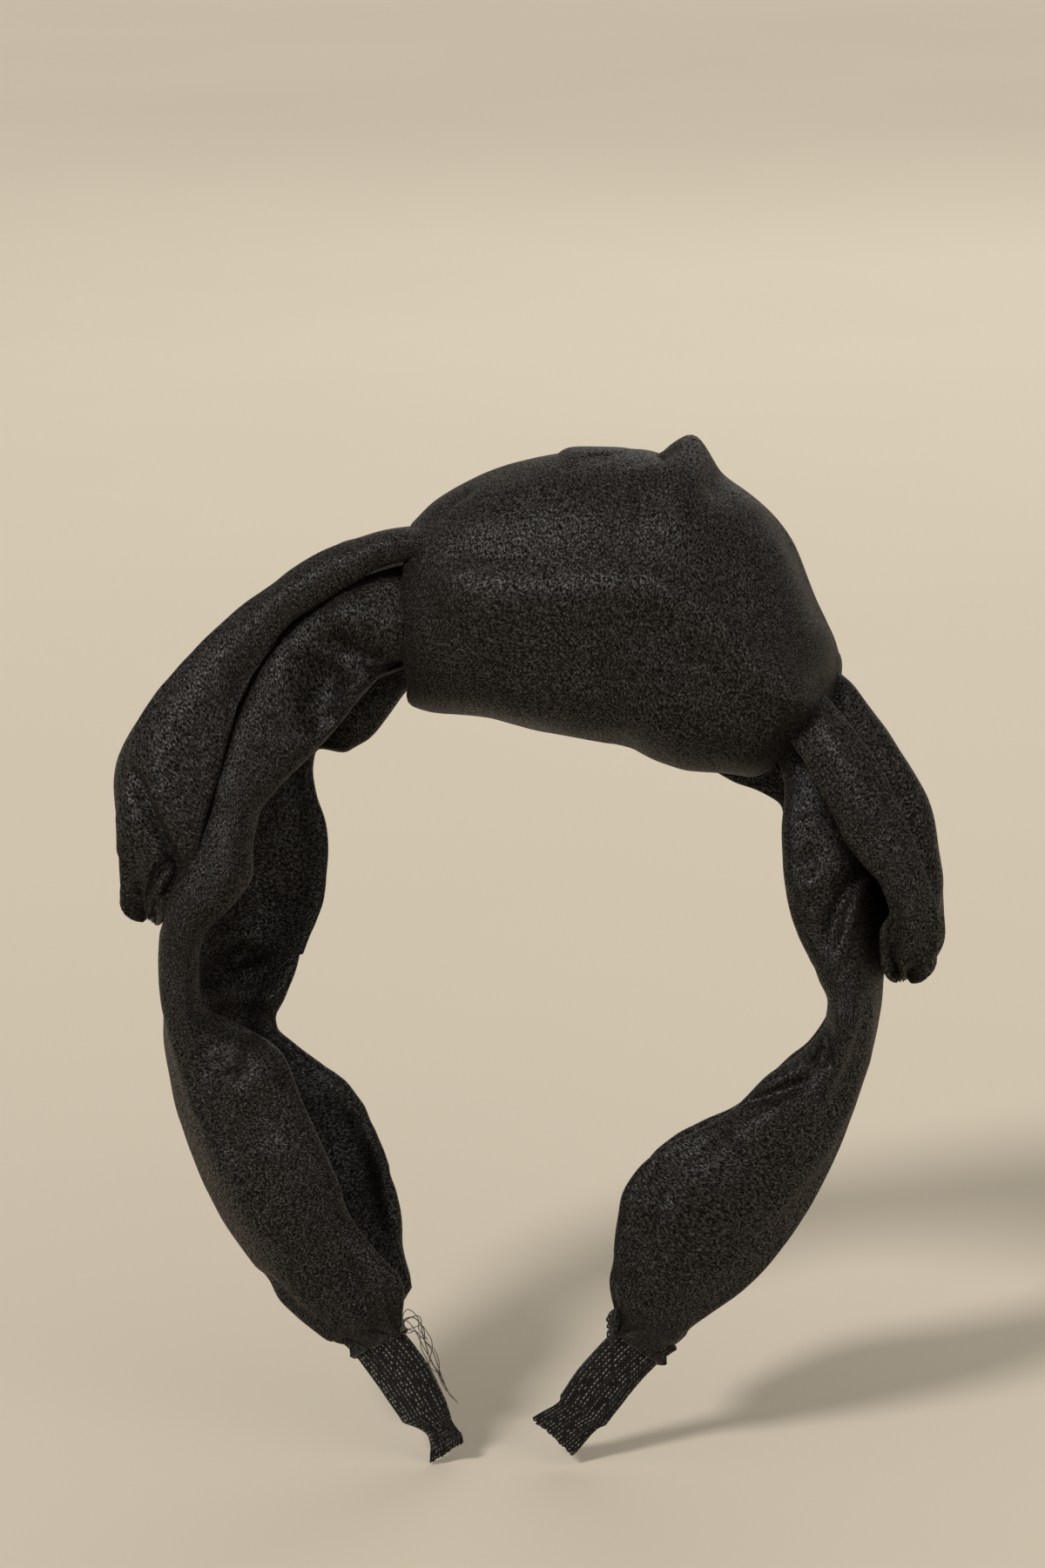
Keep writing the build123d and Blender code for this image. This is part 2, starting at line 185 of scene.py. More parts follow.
def mesh_from_grid(name, grid, cap_start=True, cap_end=True, uv_scale=1.0):
    """A closed tube from a (stations, around, 3) grid in millimetres, with UVs in metres of cloth."""
    n, m = grid.shape[:2]
    verts = list((grid.reshape(-1, 3) * MM).tolist())
    faces = []
    for i in range(n - 1):
        a, b = i * m, (i + 1) * m
        for j in range(m):
            k = (j + 1) % m
            faces.append((a + j, b + j, b + k, a + k))
    around = np.linalg.norm(np.roll(grid, -1, axis=1) - grid, axis=2)
    u = np.concatenate([np.zeros((n, 1)), np.cumsum(around, axis=1)], axis=1)
    u_mean = u.mean(axis=0)
    along = np.linalg.norm(np.diff(grid, axis=0), axis=2).mean(axis=1)
    v = np.concatenate([[0], np.cumsum(along)])
    loops_uv = []
    for i in range(n - 1):
        for j in range(m):
            loops_uv += [(u_mean[j], v[i]), (u_mean[j], v[i + 1]), (u_mean[j + 1], v[i + 1]), (u_mean[j + 1], v[i])]
    for cap, ring, vv, flip in ((cap_start, 0, v[0], False), (cap_end, n - 1, v[-1], True)):
        if not cap:
            continue
        centre = len(verts)
        verts.append((grid[ring].mean(axis=0) * MM).tolist())
        for j in range(m):
            k = (j + 1) % m
            faces.append((centre, ring * m + k, ring * m + j) if flip else (centre, ring * m + j, ring * m + k))
            loops_uv += [(u_mean[j], vv), (u_mean[j + 1], vv), (u_mean[j], vv)]
    mesh = bpy.data.meshes.new(name)
    mesh.from_pydata(verts, [], faces)
    layer = mesh.uv_layers.new(name="cloth")
    layer.data.foreach_set("uv", (np.asarray(loops_uv, float) * MM * uv_scale).ravel())
    mesh.polygons.foreach_set("use_smooth", [True] * len(mesh.polygons))
    mesh.update()
    obj = bpy.data.objects.new(name, mesh)
    bpy.context.scene.collection.objects.link(obj)
    return obj


def outward(obj):
    """Turns the faces outward where the grid ran the other way."""
    mesh = obj.data
    co = np.array([v.co for v in mesh.vertices])
    volume = 0.0
    for p in mesh.polygons:
        v = [co[i] for i in p.vertices]
        for k in range(1, len(v) - 1):
            volume += np.dot(v[0], np.cross(v[k], v[k + 1]))
    if volume < 0:
        mesh.flip_normals()
    return obj


# =============================================================== the hoop's mid-line
CENTRE_Z, CORE_R = -57.0, 62.3
LEFT_LINE = [(-61.4, -66.6), (-59.8, -75.2), (-56.7, -86.7), (-50.9, -99.4), (-43.4, -109.4),
             (-35.0, -116.6), (-26.9, -122.2), (-21.6, -128.4), (-17.7, -134.7), (-15.2, -139.4)]
RIGHT_LINE = [(61.6, -65.6), (59.8, -72.3), (55.2, -84.8), (46.9, -97.8), (37.5, -109.5),
              (29.7, -117.2), (21.9, -122.7), (15.6, -129.4), (10.8, -136.0)]
TWIST = ([0.0, 45.0, 75.0, 100.0, 118.0, 126.0, 170.0], [0.0, 0.0, 16.0, 30.0, 52.0, 66.0, 66.0])


class Arm:
    """Places along one arm by distance s (mm) from the crown's top; r runs into the hoop, y to the back."""

    def __init__(self, side, line):
        self.side = side
        angles = np.radians(np.arange(-12, 88.1, 2.0))
        pts = [(side * CORE_R * math.sin(a), CENTRE_Z + CORE_R * math.cos(a)) for a in angles] + list(line)
        pts = np.array(pts)
        last = pts[-1] + (pts[-1] - pts[-2]) / np.linalg.norm(pts[-1] - pts[-2]) * 12
        pts = np.vstack([pts, last])
        keys = np.concatenate([[0], np.cumsum(np.linalg.norm(np.diff(pts, axis=0), axis=1))])
        dense = np.linspace(0, keys[-1], 4000)
        xy = soft_curve(keys, pts, dense)
        length = np.concatenate([[0], np.cumsum(np.linalg.norm(np.diff(xy, axis=0), axis=1))])
        zero = np.interp(0.0, side * xy[: len(xy) // 2, 0], length[: len(xy) // 2])
        self.s, self.xy = length - zero, xy
        t = np.gradient(xy, axis=0)
        for _ in range(40):
            t[1:-1] = (t[2:] + t[:-2] + 2 * t[1:-1]) / 4
        self.t = t / np.linalg.norm(t, axis=1, keepdims=True)
        self.end = float(np.interp(keys[-2], dense, length) - zero)

    def at(self, s):
        p = np.stack([np.interp(s, self.s, self.xy[:, k]) for k in (0, 1)], axis=-1)
        t = np.stack([np.interp(s, self.s, self.t[:, k]) for k in (0, 1)], axis=-1)
        t /= np.linalg.norm(t, axis=-1, keepdims=True)
        n = np.stack([t[..., 1] * self.side, -t[..., 0] * self.side], axis=-1)
        return p, t, n

    def s_at_z(self, z):
        low = self.s > 60
        return float(np.interp(-z, -self.xy[low, 1], self.s[low]))

    def place(self, s, ry):
        """(stations, around, 2) of r, y at s -> (stations, around, 3)."""
        p, _, n = self.at(np.asarray(s))
        x = p[:, None, 0] + ry[..., 0] * n[:, None, 0]
        z = p[:, None, 1] + ry[..., 0] * n[:, None, 1]
        return np.stack([x, ry[..., 1], z], axis=-1)

    def twist(self, s):
        p, _, _ = self.at(np.asarray(s))
        return np.radians(curve_through(TWIST[0], TWIST[1], -p[..., 1]))


LEFT, RIGHT = Arm(-1, LEFT_LINE), Arm(1, RIGHT_LINE)
LEFT_MOUTH_S, RIGHT_MOUTH_S = LEFT.s_at_z(-122.2), RIGHT.s_at_z(-122.4)


# =============================================================== materials
def node_tree(name):
    material = bpy.data.materials.new(name)
    material.use_nodes = True
    nodes, links = material.node_tree.nodes, material.node_tree.links
    nodes.clear()
    out = nodes.new("ShaderNodeOutputMaterial")
    shader = nodes.new("ShaderNodeBsdfPrincipled")
    links.new(shader.outputs["BSDF"], out.inputs["Surface"])
    return material, nodes, links, shader


def mapped(nodes, links, scale, rotate=0.0, kind="UV"):
    coord = nodes.new("ShaderNodeTexCoord")
    mapping = nodes.new("ShaderNodeMapping")
    mapping.inputs["Scale"].default_value = scale
    mapping.inputs["Rotation"].default_value = (0, 0, rotate)
    links.new(coord.outputs[kind], mapping.inputs["Vector"])
    return mapping.outputs["Vector"]


def texture_noise(nodes, links, vector, scale, detail=2.0, rough=0.5):
    n = nodes.new("ShaderNodeTexNoise")
    n.inputs["Scale"].default_value = scale
    n.inputs["Detail"].default_value = detail
    n.inputs["Roughness"].default_value = rough
    links.new(vector, n.inputs["Vector"])
    return n.outputs["Fac"]


def ramp(nodes, links, value, stops):
    r = nodes.new("ShaderNodeValToRGB")
    elements = r.color_ramp.elements
    while len(elements) < len(stops):
        elements.new(0.5)
    for e, (pos, col) in zip(elements, stops):
        e.position = pos
        e.color = (*col, 1) if len(col) == 3 else col
    links.new(value, r.inputs["Fac"])
    return r.outputs["Color"]


def math_node(nodes, links, op, a, b=None):
    m = nodes.new("ShaderNodeMath")
    m.operation = op
    for k, v in enumerate((a, b)):
        if v is None:
            continue
        if isinstance(v, (int, float)):
            m.inputs[k].default_value = v
        else:
            links.new(v, m.inputs[k])
    return m.outputs[0]


def mix_colour(nodes, links, kind, fac, a, b):
    m = nodes.new("ShaderNodeMix")
    m.data_type = "RGBA"
    m.blend_type = kind
    if isinstance(fac, (int, float)):
        m.inputs["Factor"].default_value = fac
    else:
        links.new(fac, m.inputs["Factor"])
    for socket, v in ((m.inputs[6], a), (m.inputs[7], b)):
        if isinstance(v, tuple):
            socket.default_value = (*v, 1)
        else:
            links.new(v, socket)
    return m.outputs[2]


def crepe(name, grain_turn=0.8, painted_shade_tone=1.0):
    """Black satin-back crepe, dull side out: fine slanting grain of its yarns that glitters where the light falls on
    it, with painted glints in the base colour where the brightest grain cells lift it.
    """
    material, nodes, links, shader = node_tree(name)
    uv = mapped(nodes, links, (1, 1, 1))
    turned = mapped(nodes, links, (1, 1, 1), grain_turn)
    across = nodes.new("ShaderNodeMapping")
    across.inputs["Scale"].default_value = (3600, 1900, 1)
    links.new(turned, across.inputs["Vector"])
    grain_raw = texture_noise(nodes, links, across.outputs["Vector"], 1.0, 1.0, 0.5)
    grain = ramp(nodes, links, grain_raw, [(0.34, (0, 0, 0)), (0.68, (1, 1, 1))])
    cells = nodes.new("ShaderNodeTexVoronoi")
    cells.inputs["Scale"].default_value = 3700
    links.new(turned, cells.inputs["Vector"])
    pick = nodes.new("ShaderNodeSeparateColor")
    links.new(cells.outputs["Color"], pick.inputs["Color"])
    yarn_tone_and_glint = pick.outputs[0]
    fine = texture_noise(nodes, links, uv, 3600, 1.0, 0.6)
    wide = texture_noise(nodes, links, uv, 45, 3.0, 0.6)
    mottle = texture_noise(nodes, links, uv, 330, 3.0, 0.65)
    # k scales the whole base colour down: painted shade where a copy of the crepe is given less than 1
    k = painted_shade_tone
    # random tone per yarn cell; the brightest few percent ramp to several times the base colour as painted glints
    colour = ramp(nodes, links, yarn_tone_and_glint, [(0.0, (0.0050 * k, 0.0043 * k, 0.0037 * k)), (0.60, (0.0076 * k, 0.0066 * k, 0.0057 * k)),
                                       (0.93, (0.0128 * k, 0.0113 * k, 0.0099 * k)), (1.0, (0.0360 * k, 0.0332 * k, 0.0306 * k))])
    colour = mix_colour(nodes, links, "MULTIPLY", 0.85, colour,
                        ramp(nodes, links, grain, [(0.0, (0.80, 0.79, 0.78)), (1.0, (1.22, 1.20, 1.18))]))
    colour = mix_colour(nodes, links, "MULTIPLY", 0.8, colour,
                        ramp(nodes, links, wide, [(0.3, (0.72, 0.70, 0.68)), (0.7, (1.25, 1.2, 1.15))]))
    colour = mix_colour(nodes, links, "MULTIPLY", 0.8, colour,
                        ramp(nodes, links, mottle, [(0.3, (0.90, 0.90, 0.90)), (0.7, (1.08, 1.08, 1.08))]))
    links.new(colour, shader.inputs["Base Color"])
    links.new(ramp(nodes, links, grain, [(0.0, (0.66, 0.66, 0.66)), (1.0, (0.50, 0.50, 0.50))]), shader.inputs["Roughness"])
    level = math_node(nodes, links, "MULTIPLY", math_node(nodes, links, "MULTIPLY", grain, yarn_tone_and_glint), 1.04)
    links.new(level, shader.inputs["Specular IOR Level"])
    shader.inputs["Sheen Weight"].default_value = 0.03
    shader.inputs["Sheen Roughness"].default_value = 0.32
    shader.inputs["Sheen Tint"].default_value = (1.0, 0.60, 0.32, 1)
    height = math_node(nodes, links, "ADD", math_node(nodes, links, "MULTIPLY", grain_raw, 1.0),
                       math_node(nodes, links, "MULTIPLY", fine, 0.45))
    height = math_node(nodes, links, "ADD", height, math_node(nodes, links, "MULTIPLY", mottle, 0.25))
    bump = nodes.new("ShaderNodeBump")
    bump.inputs["Strength"].default_value = 0.55
    bump.inputs["Distance"].default_value = 0.00016
    links.new(height, bump.inputs["Height"])
    links.new(bump.outputs["Normal"], shader.inputs["Normal"])
    return material


def knit(name):
    """Black ribbed knit: columns of small V stitches, bright flecks in the hollows."""
    material, nodes, links, shader = node_tree(name)
    uv = mapped(nodes, links, (1, 1, 1))
    sep = nodes.new("ShaderNodeSeparateXYZ")
    links.new(uv, sep.inputs[0])
    column = math_node(nodes, links, "MULTIPLY", sep.outputs[0], 1000 / 0.84)
    inside = math_node(nodes, links, "FRACT", column)
    side = math_node(nodes, links, "ABSOLUTE", math_node(nodes, links, "SUBTRACT", inside, 0.5))
    row = math_node(nodes, links, "ADD", math_node(nodes, links, "MULTIPLY", sep.outputs[1], 1000 / 0.80),
                    math_node(nodes, links, "MULTIPLY", side, 1.6))
    stitch = math_node(nodes, links, "FRACT", row)
    stitch_round = math_node(nodes, links, "SINE", math_node(nodes, links, "MULTIPLY", stitch, math.pi))
    rib = math_node(nodes, links, "COSINE", math_node(nodes, links, "MULTIPLY", side, math.pi))
    height = math_node(nodes, links, "MULTIPLY", rib, math_node(nodes, links, "ADD", stitch_round, 0.5))
    fuzz = texture_noise(nodes, links, uv, 2600, 2.0, 0.7)
    total = math_node(nodes, links, "ADD", height, math_node(nodes, links, "MULTIPLY", fuzz, 0.5))
    # colour follows the stitch height: painted shade darkens the hollows between ribs, and the raised stitches are
    # painted lighter
    colour = ramp(nodes, links, total, [(0.25, (0.0014, 0.0013, 0.0012)), (0.9, (0.0056, 0.0050, 0.0044)), (1.0, (0.010, 0.009, 0.008))])
    patch = texture_noise(nodes, links, mapped(nodes, links, (1400, 760, 1)), 1.0, 1.0, 0.5)
    in_hollow = math_node(nodes, links, "GREATER_THAN", side, 0.38)
    fleck = math_node(nodes, links, "MULTIPLY", in_hollow, math_node(nodes, links, "GREATER_THAN", patch, 0.480))
    fleck = math_node(nodes, links, "MULTIPLY", fleck, math_node(nodes, links, "GREATER_THAN", stitch_round, 0.58))
    colour = mix_colour(nodes, links, "MIX", fleck, colour, (0.235, 0.220, 0.200))
    links.new(colour, shader.inputs["Base Color"])
    links.new(ramp(nodes, links, fuzz, [(0.2, (0.85, 0.85, 0.85)), (0.9, (0.6, 0.6, 0.6))]), shader.inputs["Roughness"])
    shader.inputs["Sheen Weight"].default_value = 0.02
    shader.inputs["Specular IOR Level"].default_value = 0.16
    shader.inputs["Sheen Roughness"].default_value = 0.5
    bump = nodes.new("ShaderNodeBump")
    bump.inputs["Strength"].default_value = 0.9
    bump.inputs["Distance"].default_value = 0.00022
    links.new(total, bump.inputs["Height"])
    links.new(bump.outputs["Normal"], shader.inputs["Normal"])
    return material


def thread_look(name, dark=(0.016, 0.012, 0.009), light=(0.060, 0.045, 0.033), sheen=0.3):
    material, nodes, links, shader = node_tree(name)
    coords = mapped(nodes, links, (1, 1, 1), 0.0, "Object")
    n = texture_noise(nodes, links, coords, 1800, 2.0, 0.6)
    links.new(ramp(nodes, links, n, [(0.3, dark), (0.75, light)]), shader.inputs["Base Color"])
    links.new(ramp(nodes, links, n, [(0.3, (0.8, 0.8, 0.8)), (0.75, (0.55, 0.55, 0.55))]), shader.inputs["Roughness"])
    shader.inputs["Sheen Weight"].default_value = sheen
    bump = nodes.new("ShaderNodeBump")
    bump.inputs["Strength"].default_value = 0.5
    bump.inputs["Distance"].default_value = 0.00005
    links.new(n, bump.inputs["Height"])
    links.new(bump.outputs["Normal"], shader.inputs["Normal"])
    return material


def plastic_look(name):
    material, nodes, links, shader = node_tree(name)
    coords = mapped(nodes, links, (1, 1, 1), 0.0, "Object")
    n = texture_noise(nodes, links, coords, 900, 3.0, 0.6)
    links.new(ramp(nodes, links, n, [(0.3, (0.012, 0.012, 0.012)), (0.8, (0.03, 0.03, 0.03))]), shader.inputs["Base Color"])
    links.new(ramp(nodes, links, n, [(0.3, (0.35, 0.35, 0.35)), (0.8, (0.55, 0.55, 0.55))]), shader.inputs["Roughness"])
    bump = nodes.new("ShaderNodeBump")
    bump.inputs["Strength"].default_value = 0.2
    bump.inputs["Distance"].default_value = 0.00005
    links.new(n, bump.inputs["Height"])
    links.new(bump.outputs["Normal"], shader.inputs["Normal"])
    return material


def wadding_look(name):
    material, nodes, links, shader = node_tree(name)
    coords = mapped(nodes, links, (1, 1, 1), 0.0, "Object")
    n = texture_noise(nodes, links, coords, 260, 5.0, 0.75)
    links.new(ramp(nodes, links, n, [(0.3, (0.055, 0.052, 0.050)), (0.8, (0.13, 0.125, 0.12))]), shader.inputs["Base Color"])
    shader.inputs["Roughness"].default_value = 0.95
    shader.inputs["Sheen Weight"].default_value = 0.3
    bump = nodes.new("ShaderNodeBump")
    bump.inputs["Strength"].default_value = 0.6
    bump.inputs["Distance"].default_value = 0.0006
    links.new(n, bump.inputs["Height"])
    links.new(bump.outputs["Normal"], shader.inputs["Normal"])
    return material


# the covers' copy of the crepe is 8% darker than the knot's: painted shade on the arms below the knot
COVER_LOOK = crepe("crepe_cover", grain_turn=0.95, painted_shade_tone=0.92)
KNOT_LOOK = crepe("crepe_knot", grain_turn=-0.8)
KNIT_LOOK = knit("knit_elastic")
THREAD_LOOK = thread_look("thread")
FRAY_LOOK = thread_look("thread_frayed", (0.004, 0.0035, 0.003), (0.014, 0.012, 0.010), 0.05)
STITCH_LOOK = thread_look("thread_black", (0.010, 0.009, 0.008), (0.03, 0.026, 0.022))
CORE_LOOK = plastic_look("core_plastic")
WADDING_LOOK = wadding_look("wadding")


def dress(obj, material):
    obj.data.materials.clear()
    obj.data.materials.append(material)
    return obj


# =============================================================== covers
# s, out, near, far, half width near, half width far, thickness near, thickness far, trough, far edge y
LEFT_COVER = np.array([
    (4.0, 8.0, 2.0, 5.0, 9.0, 9.0, 3.5, 3.5, 4.4, 5.0),
    (12.0, 11.5, 2.4, 6.0, 14.0, 12.0, 4.0, 4.5, 4.4, 6.0),
    (18.0, 13.2, 2.9, 7.0, 16.5, 14.0, 4.4, 6.5, 4.4, 7.0),
    (24.0, 13.4, 3.4, 7.6, 17.5, 15.0, 4.4, 8.0, 4.4, 7.5),
    (28.0, 13.2, 5.2, 9.2, 17.8, 15.5, 4.4, 8.5, 4.4, 7.5),
    (32.0, 12.8, 6.8, 10.8, 18.0, 16.0, 4.4, 8.5, 4.4, 7.5),
    (38.0, 11.5, 8.5, 12.4, 18.0, 17.0, 4.2, 8.0, 4.4, 7.5),
    (43.0, 9.6, 9.5, 11.9, 18.0, 18.0, 4.0, 6.5, 4.4, 8.5),
    (48.0, 7.6, 10.1, 7.1, 18.0, 19.0, 4.0, 4.5, 4.4, 12.0),
    (52.0, 6.0, 10.2, 8.5, 18.4, 19.5, 3.8, 3.6, 4.4, 14.0),
    (56.0, 4.8, 10.2, 12.3, 19.0, 19.8, 3.6, 3.4, 4.2, 14.5),
    (60.0, 3.8, 9.9, 16.7, 19.5, 20.0, 3.6, 3.4, 4.2, 14.5),
    (65.0, 3.2, 11.1, 19.9, 19.8, 20.3, 3.4, 3.2, 4.0, 14.5),
    (70.0, 3.0, 12.4, 21.6, 20.0, 20.5, 3.4, 3.2, 4.0, 14.5),
    (75.0, 2.9, 13.3, 22.6, 20.0, 21.0, 3.4, 3.0, 4.0, 14.5),
    (80.0, 2.8, 12.1, 23.1, 19.6, 21.0, 3.4, 3.0, 4.0, 14.5),
    (85.0, 2.7, 10.2, 22.7, 19.0, 21.0, 3.4, 3.0, 4.0, 14.5),
    (90.0, 2.7, 7.7, 21.8, 18.0, 20.5, 3.4, 3.0, 4.0, 14.0),
    (95.0, 2.4, 7.0, 20.6, 17.0, 20.0, 3.4, 3.0, 4.0, 14.0),
    (99.0, 2.3, 6.6, 19.5, 16.6, 19.0, 3.5, 3.2, 4.0, 13.5),
    (103, 2.3, 6.5, 17.3, 16.5, 18.5, 3.6, 3.3, 4.0, 13.0),
    (105.2, 2.4, 8.0, 16.1, 16.8, 18.2, 4.0, 3.4, 4.1, 12.6),
    (107.2, 2.7, 11.6, 15.2, 17.2, 18.2, 4.4, 3.5, 4.2, 12.6),
    (109.5, 3.0, 14.4, 14.4, 17.4, 18.4, 4.8, 3.6, 4.3, 12.8),
    (112, 3.1, 17.0, 14.3, 17.8, 18.5, 5.0, 3.6, 4.4, 13.0),
    (116, 3.1, 20.0, 17.0, 18.0, 18.8, 5.4, 3.7, 4.5, 13.4),
    (120, 3.2, 21.0, 20.0, 18.0, 19.0, 5.8, 3.8, 4.6, 13.8),
    (125, 3.2, 21.5, 22.8, 18.0, 19.0, 6.4, 3.9, 4.7, 14.0),
    (130, 3.2, 21.6, 24.5, 17.8, 19.0, 6.8, 4.0, 4.8, 14.0),
    (136, 3.3, 21.6, 25.6, 17.2, 18.6, 7.0, 4.0, 4.8, 13.8),
    (142, 3.2, 21.3, 25.6, 16.4, 17.8, 7.0, 4.0, 4.8, 13.2),
    (148, 3.1, 20.6, 25.2, 15.4, 16.6, 6.8, 4.0, 4.7, 12.4),
    (154, 3.4, 19.0, 24.3, 14.0, 15.0, 6.4, 3.9, 4.5, 11.2),
    (160, 4.4, 17.3, 22.4, 12.4, 13.2, 5.6, 3.8, 4.3, 9.8),
    (166, 4.8, 14.8, 17.2, 10.6, 11.2, 4.6, 3.5, 4.1, 8.2),
    (171, 5.1, 12.6, 11.6, 8.8, 9.0, 4.0, 3.3, 3.9, 6.6),
    (175.5, 5.0, 8.7, 9.0, 7.0, 7.0, 3.4, 3.2, 3.6, 5.4),
])
RIGHT_COVER = np.array([
    (34.0, 6.0, 2.0, 11.0, 8.0, 10.0, 3.5, 3.5, 4.0, 8.0),
    (44.0, 6.0, 2.0, 13.4, 9.0, 14.0, 3.6, 3.8, 4.0, 10.0),
    (52.0, 6.0, 2.4, 12.0, 10.7, 16.0, 3.6, 3.8, 4.0, 11.5),
    (58.0, 5.8, 3.6, 9.0, 12.4, 17.0, 3.6, 3.6, 3.8, 12.5),
    (62.0, 5.4, 5.8, 7.4, 15.1, 17.6, 3.6, 3.6, 3.9, 13.0),
    (66.0, 5.0, 7.8, 9.0, 16.6, 18.2, 3.6, 3.5, 4.0, 13.4),
    (70.0, 4.6, 9.4, 10.8, 17.0, 18.6, 3.6, 3.4, 4.0, 13.6),
    (76.0, 5.0, 11.4, 12.8, 17.4, 19.2, 3.6, 3.4, 4.0, 14.0),
    (82.0, 4.9, 12.0, 13.4, 17.4, 19.6, 3.6, 3.4, 4.0, 14.2),
    (88.0, 4.6, 11.2, 12.8, 17.2, 19.4, 3.6, 3.4, 4.0, 14.2),
    (94.0, 3.4, 9.4, 11.4, 16.8, 18.6, 3.8, 3.4, 4.0, 13.8),
    (98.0, 2.6, 8.0, 10.0, 16.6, 18.0, 4.0, 3.5, 4.0, 13.4),
    (102, 2.5, 6.2, 7.8, 16.5, 17.5, 4.2, 3.6, 4.0, 13.0),
    (106, 2.2, 6.6, 7.2, 16.5, 17.2, 4.4, 3.8, 4.0, 12.8),
    (110, 2.1, 8.0, 7.8, 16.6, 17.2, 4.8, 3.8, 4.1, 12.8),
    (114, 2.2, 9.9, 9.0, 16.8, 17.3, 5.2, 3.9, 4.2, 12.8),
    (118, 2.3, 12.5, 11.4, 17.0, 17.5, 5.8, 4.0, 4.4, 13.0),
    (122, 2.3, 14.1, 13.2, 17.2, 17.6, 6.4, 4.1, 4.6, 13.2),
    (128, 2.8, 15.4, 14.6, 17.5, 17.8, 7.0, 4.2, 4.8, 13.4),
    (134, 3.5, 17.9, 16.2, 17.6, 17.8, 7.6, 4.3, 4.9, 13.4),
    (140, 4.3, 20.6, 19.4, 17.4, 17.6, 8.0, 4.4, 5.0, 13.2),
    (146, 4.6, 23.2, 22.2, 17.0, 17.2, 8.0, 4.5, 5.0, 12.8),
    (152, 4.7, 24.1, 23.4, 16.0, 16.4, 7.8, 4.5, 5.0, 12.2),
    (158, 4.2, 23.2, 22.8, 14.6, 15.0, 7.2, 4.4, 4.8, 11.2),
    (164, 3.3, 20.3, 20.1, 12.8, 13.0, 6.4, 4.2, 4.5, 9.8),
    (170, 2.7, 14.9, 14.9, 10.4, 10.6, 5.2, 3.8, 4.2, 8.0),
    (175, 3.4, 10.7, 10.8, 8.2, 8.2, 4.0, 3.4, 3.8, 6.0),
    (177.4, 3.8, 7.4, 7.5, 7.2, 7.2, 3.4, 3.2, 3.6, 5.4),
])

AZ, EL, DIST, SCALE = math.radians(7.0), math.radians(1.5), 0.9, 6.45
TARGET = Vector((0.0006, 0.0, -0.0233))
EYE = TARGET + DIST * Vector((math.sin(AZ) * math.cos(EL), -math.cos(AZ) * math.cos(EL), math.sin(EL)))


def seen(grid):
    """Places of a grid as seen from the front: mm to the right of and above the middle of the view."""
    eye, look = np.array(EYE) / MM, (np.array(TARGET) - np.array(EYE)) / MM
    look = look / np.linalg.norm(look)
    right = np.cross(look, [0, 0, 1.0])
    right /= np.linalg.norm(right)
    up = np.cross(right, look)
    v = grid - eye
    k = (DIST / MM) / (v @ look)
    return np.stack([k * (v @ right), k * (v @ up)], axis=-1)


def cover_loops(rows):
    """(stations, 18, 2) control points of r, y from rows of out, near, far, wn, wf, tn, tf, m, far edge y."""
    out, near, far, wn, wf, tn, tf, m, yf = rows.T
    o = -out
    dn, df = near + out, far + out
    yn = -0.76 * wn
    pts = [
        (o, 0 * o), (o + 0.4, -3.5 + 0 * o), (o + 0.26 * dn, -0.82 * wn), (o + 0.55 * dn, -wn), (o + 0.84 * dn, -0.97 * wn),
        (near, yn), (near - 0.10 * dn, yn + 0.75 * tn), (o + 0.62 * dn, -wn + tn), (o + 0.40 * dn, -0.62 * wn + 0.35 * tn),
        (m, 0 * o),
        (o + 0.45 * df, np.maximum(0.56 * wf - 0.6 * tf, 2.0)), (o + 0.68 * df, np.maximum(0.62 * yf + 0.38 * wf - tf - 0.6, 2.5)), (far - 0.05 * df, yf - 0.50 * tf), (far, yf),
        (o + 0.84 * df, 0.5 * (yf + wf) + 1.0), (o + 0.55 * df, wf), (o + 0.26 * df, 0.80 * wf), (o + 0.4, 3.5 + 0 * o),
    ]
    ctrl = np.stack([np.stack(p, axis=-1) for p in pts], axis=1)
    # the inner layer never passes through the core
    inner = ctrl[:, 7:12, 0]
    ctrl[:, 7:12, 0] = np.maximum(inner, m[:, None] * 0.9)
    return ctrl


def oval_loop(width, thick, twist, count=18):
    """(stations, count, 2) of an oval whose points match the cover's: outer middle, front edge, inner middle, back edge."""
    marks = np.array([0, 22, 45, 62, 78, 90, 102, 120, 148, 180, 212, 240, 258, 270, 282, 298, 315, 338])[:count]
    a = np.radians(marks)
    h = -np.cos(a) * thick / 2
    w = -np.sin(a) * width / 2
    tw = np.asarray(twist)[:, None]
    r = h * np.cos(tw) - w * np.sin(tw)
    y = w * np.cos(tw) + h * np.sin(tw)
    return np.stack([r, y], axis=-1)


REGIONS = {     # control index ranges: first, full from, full to, last
    "front": (0.3, 1.2, 5.4, 6.6), "ridge": (-1, 0.0, 1.8, 2.4), "near": (0.8, 1.8, 8.2, 9.0), "edge": (3.2, 4.4, 6.4, 7.6),
    "inner": (8.4, 9.2, 12.6, 13.4), "far": (11.0, 12.2, 15.0, 16.4), "all": (-2, -1, 20, 21), "lower": (-2, -1, 4.5, 6.0),
}


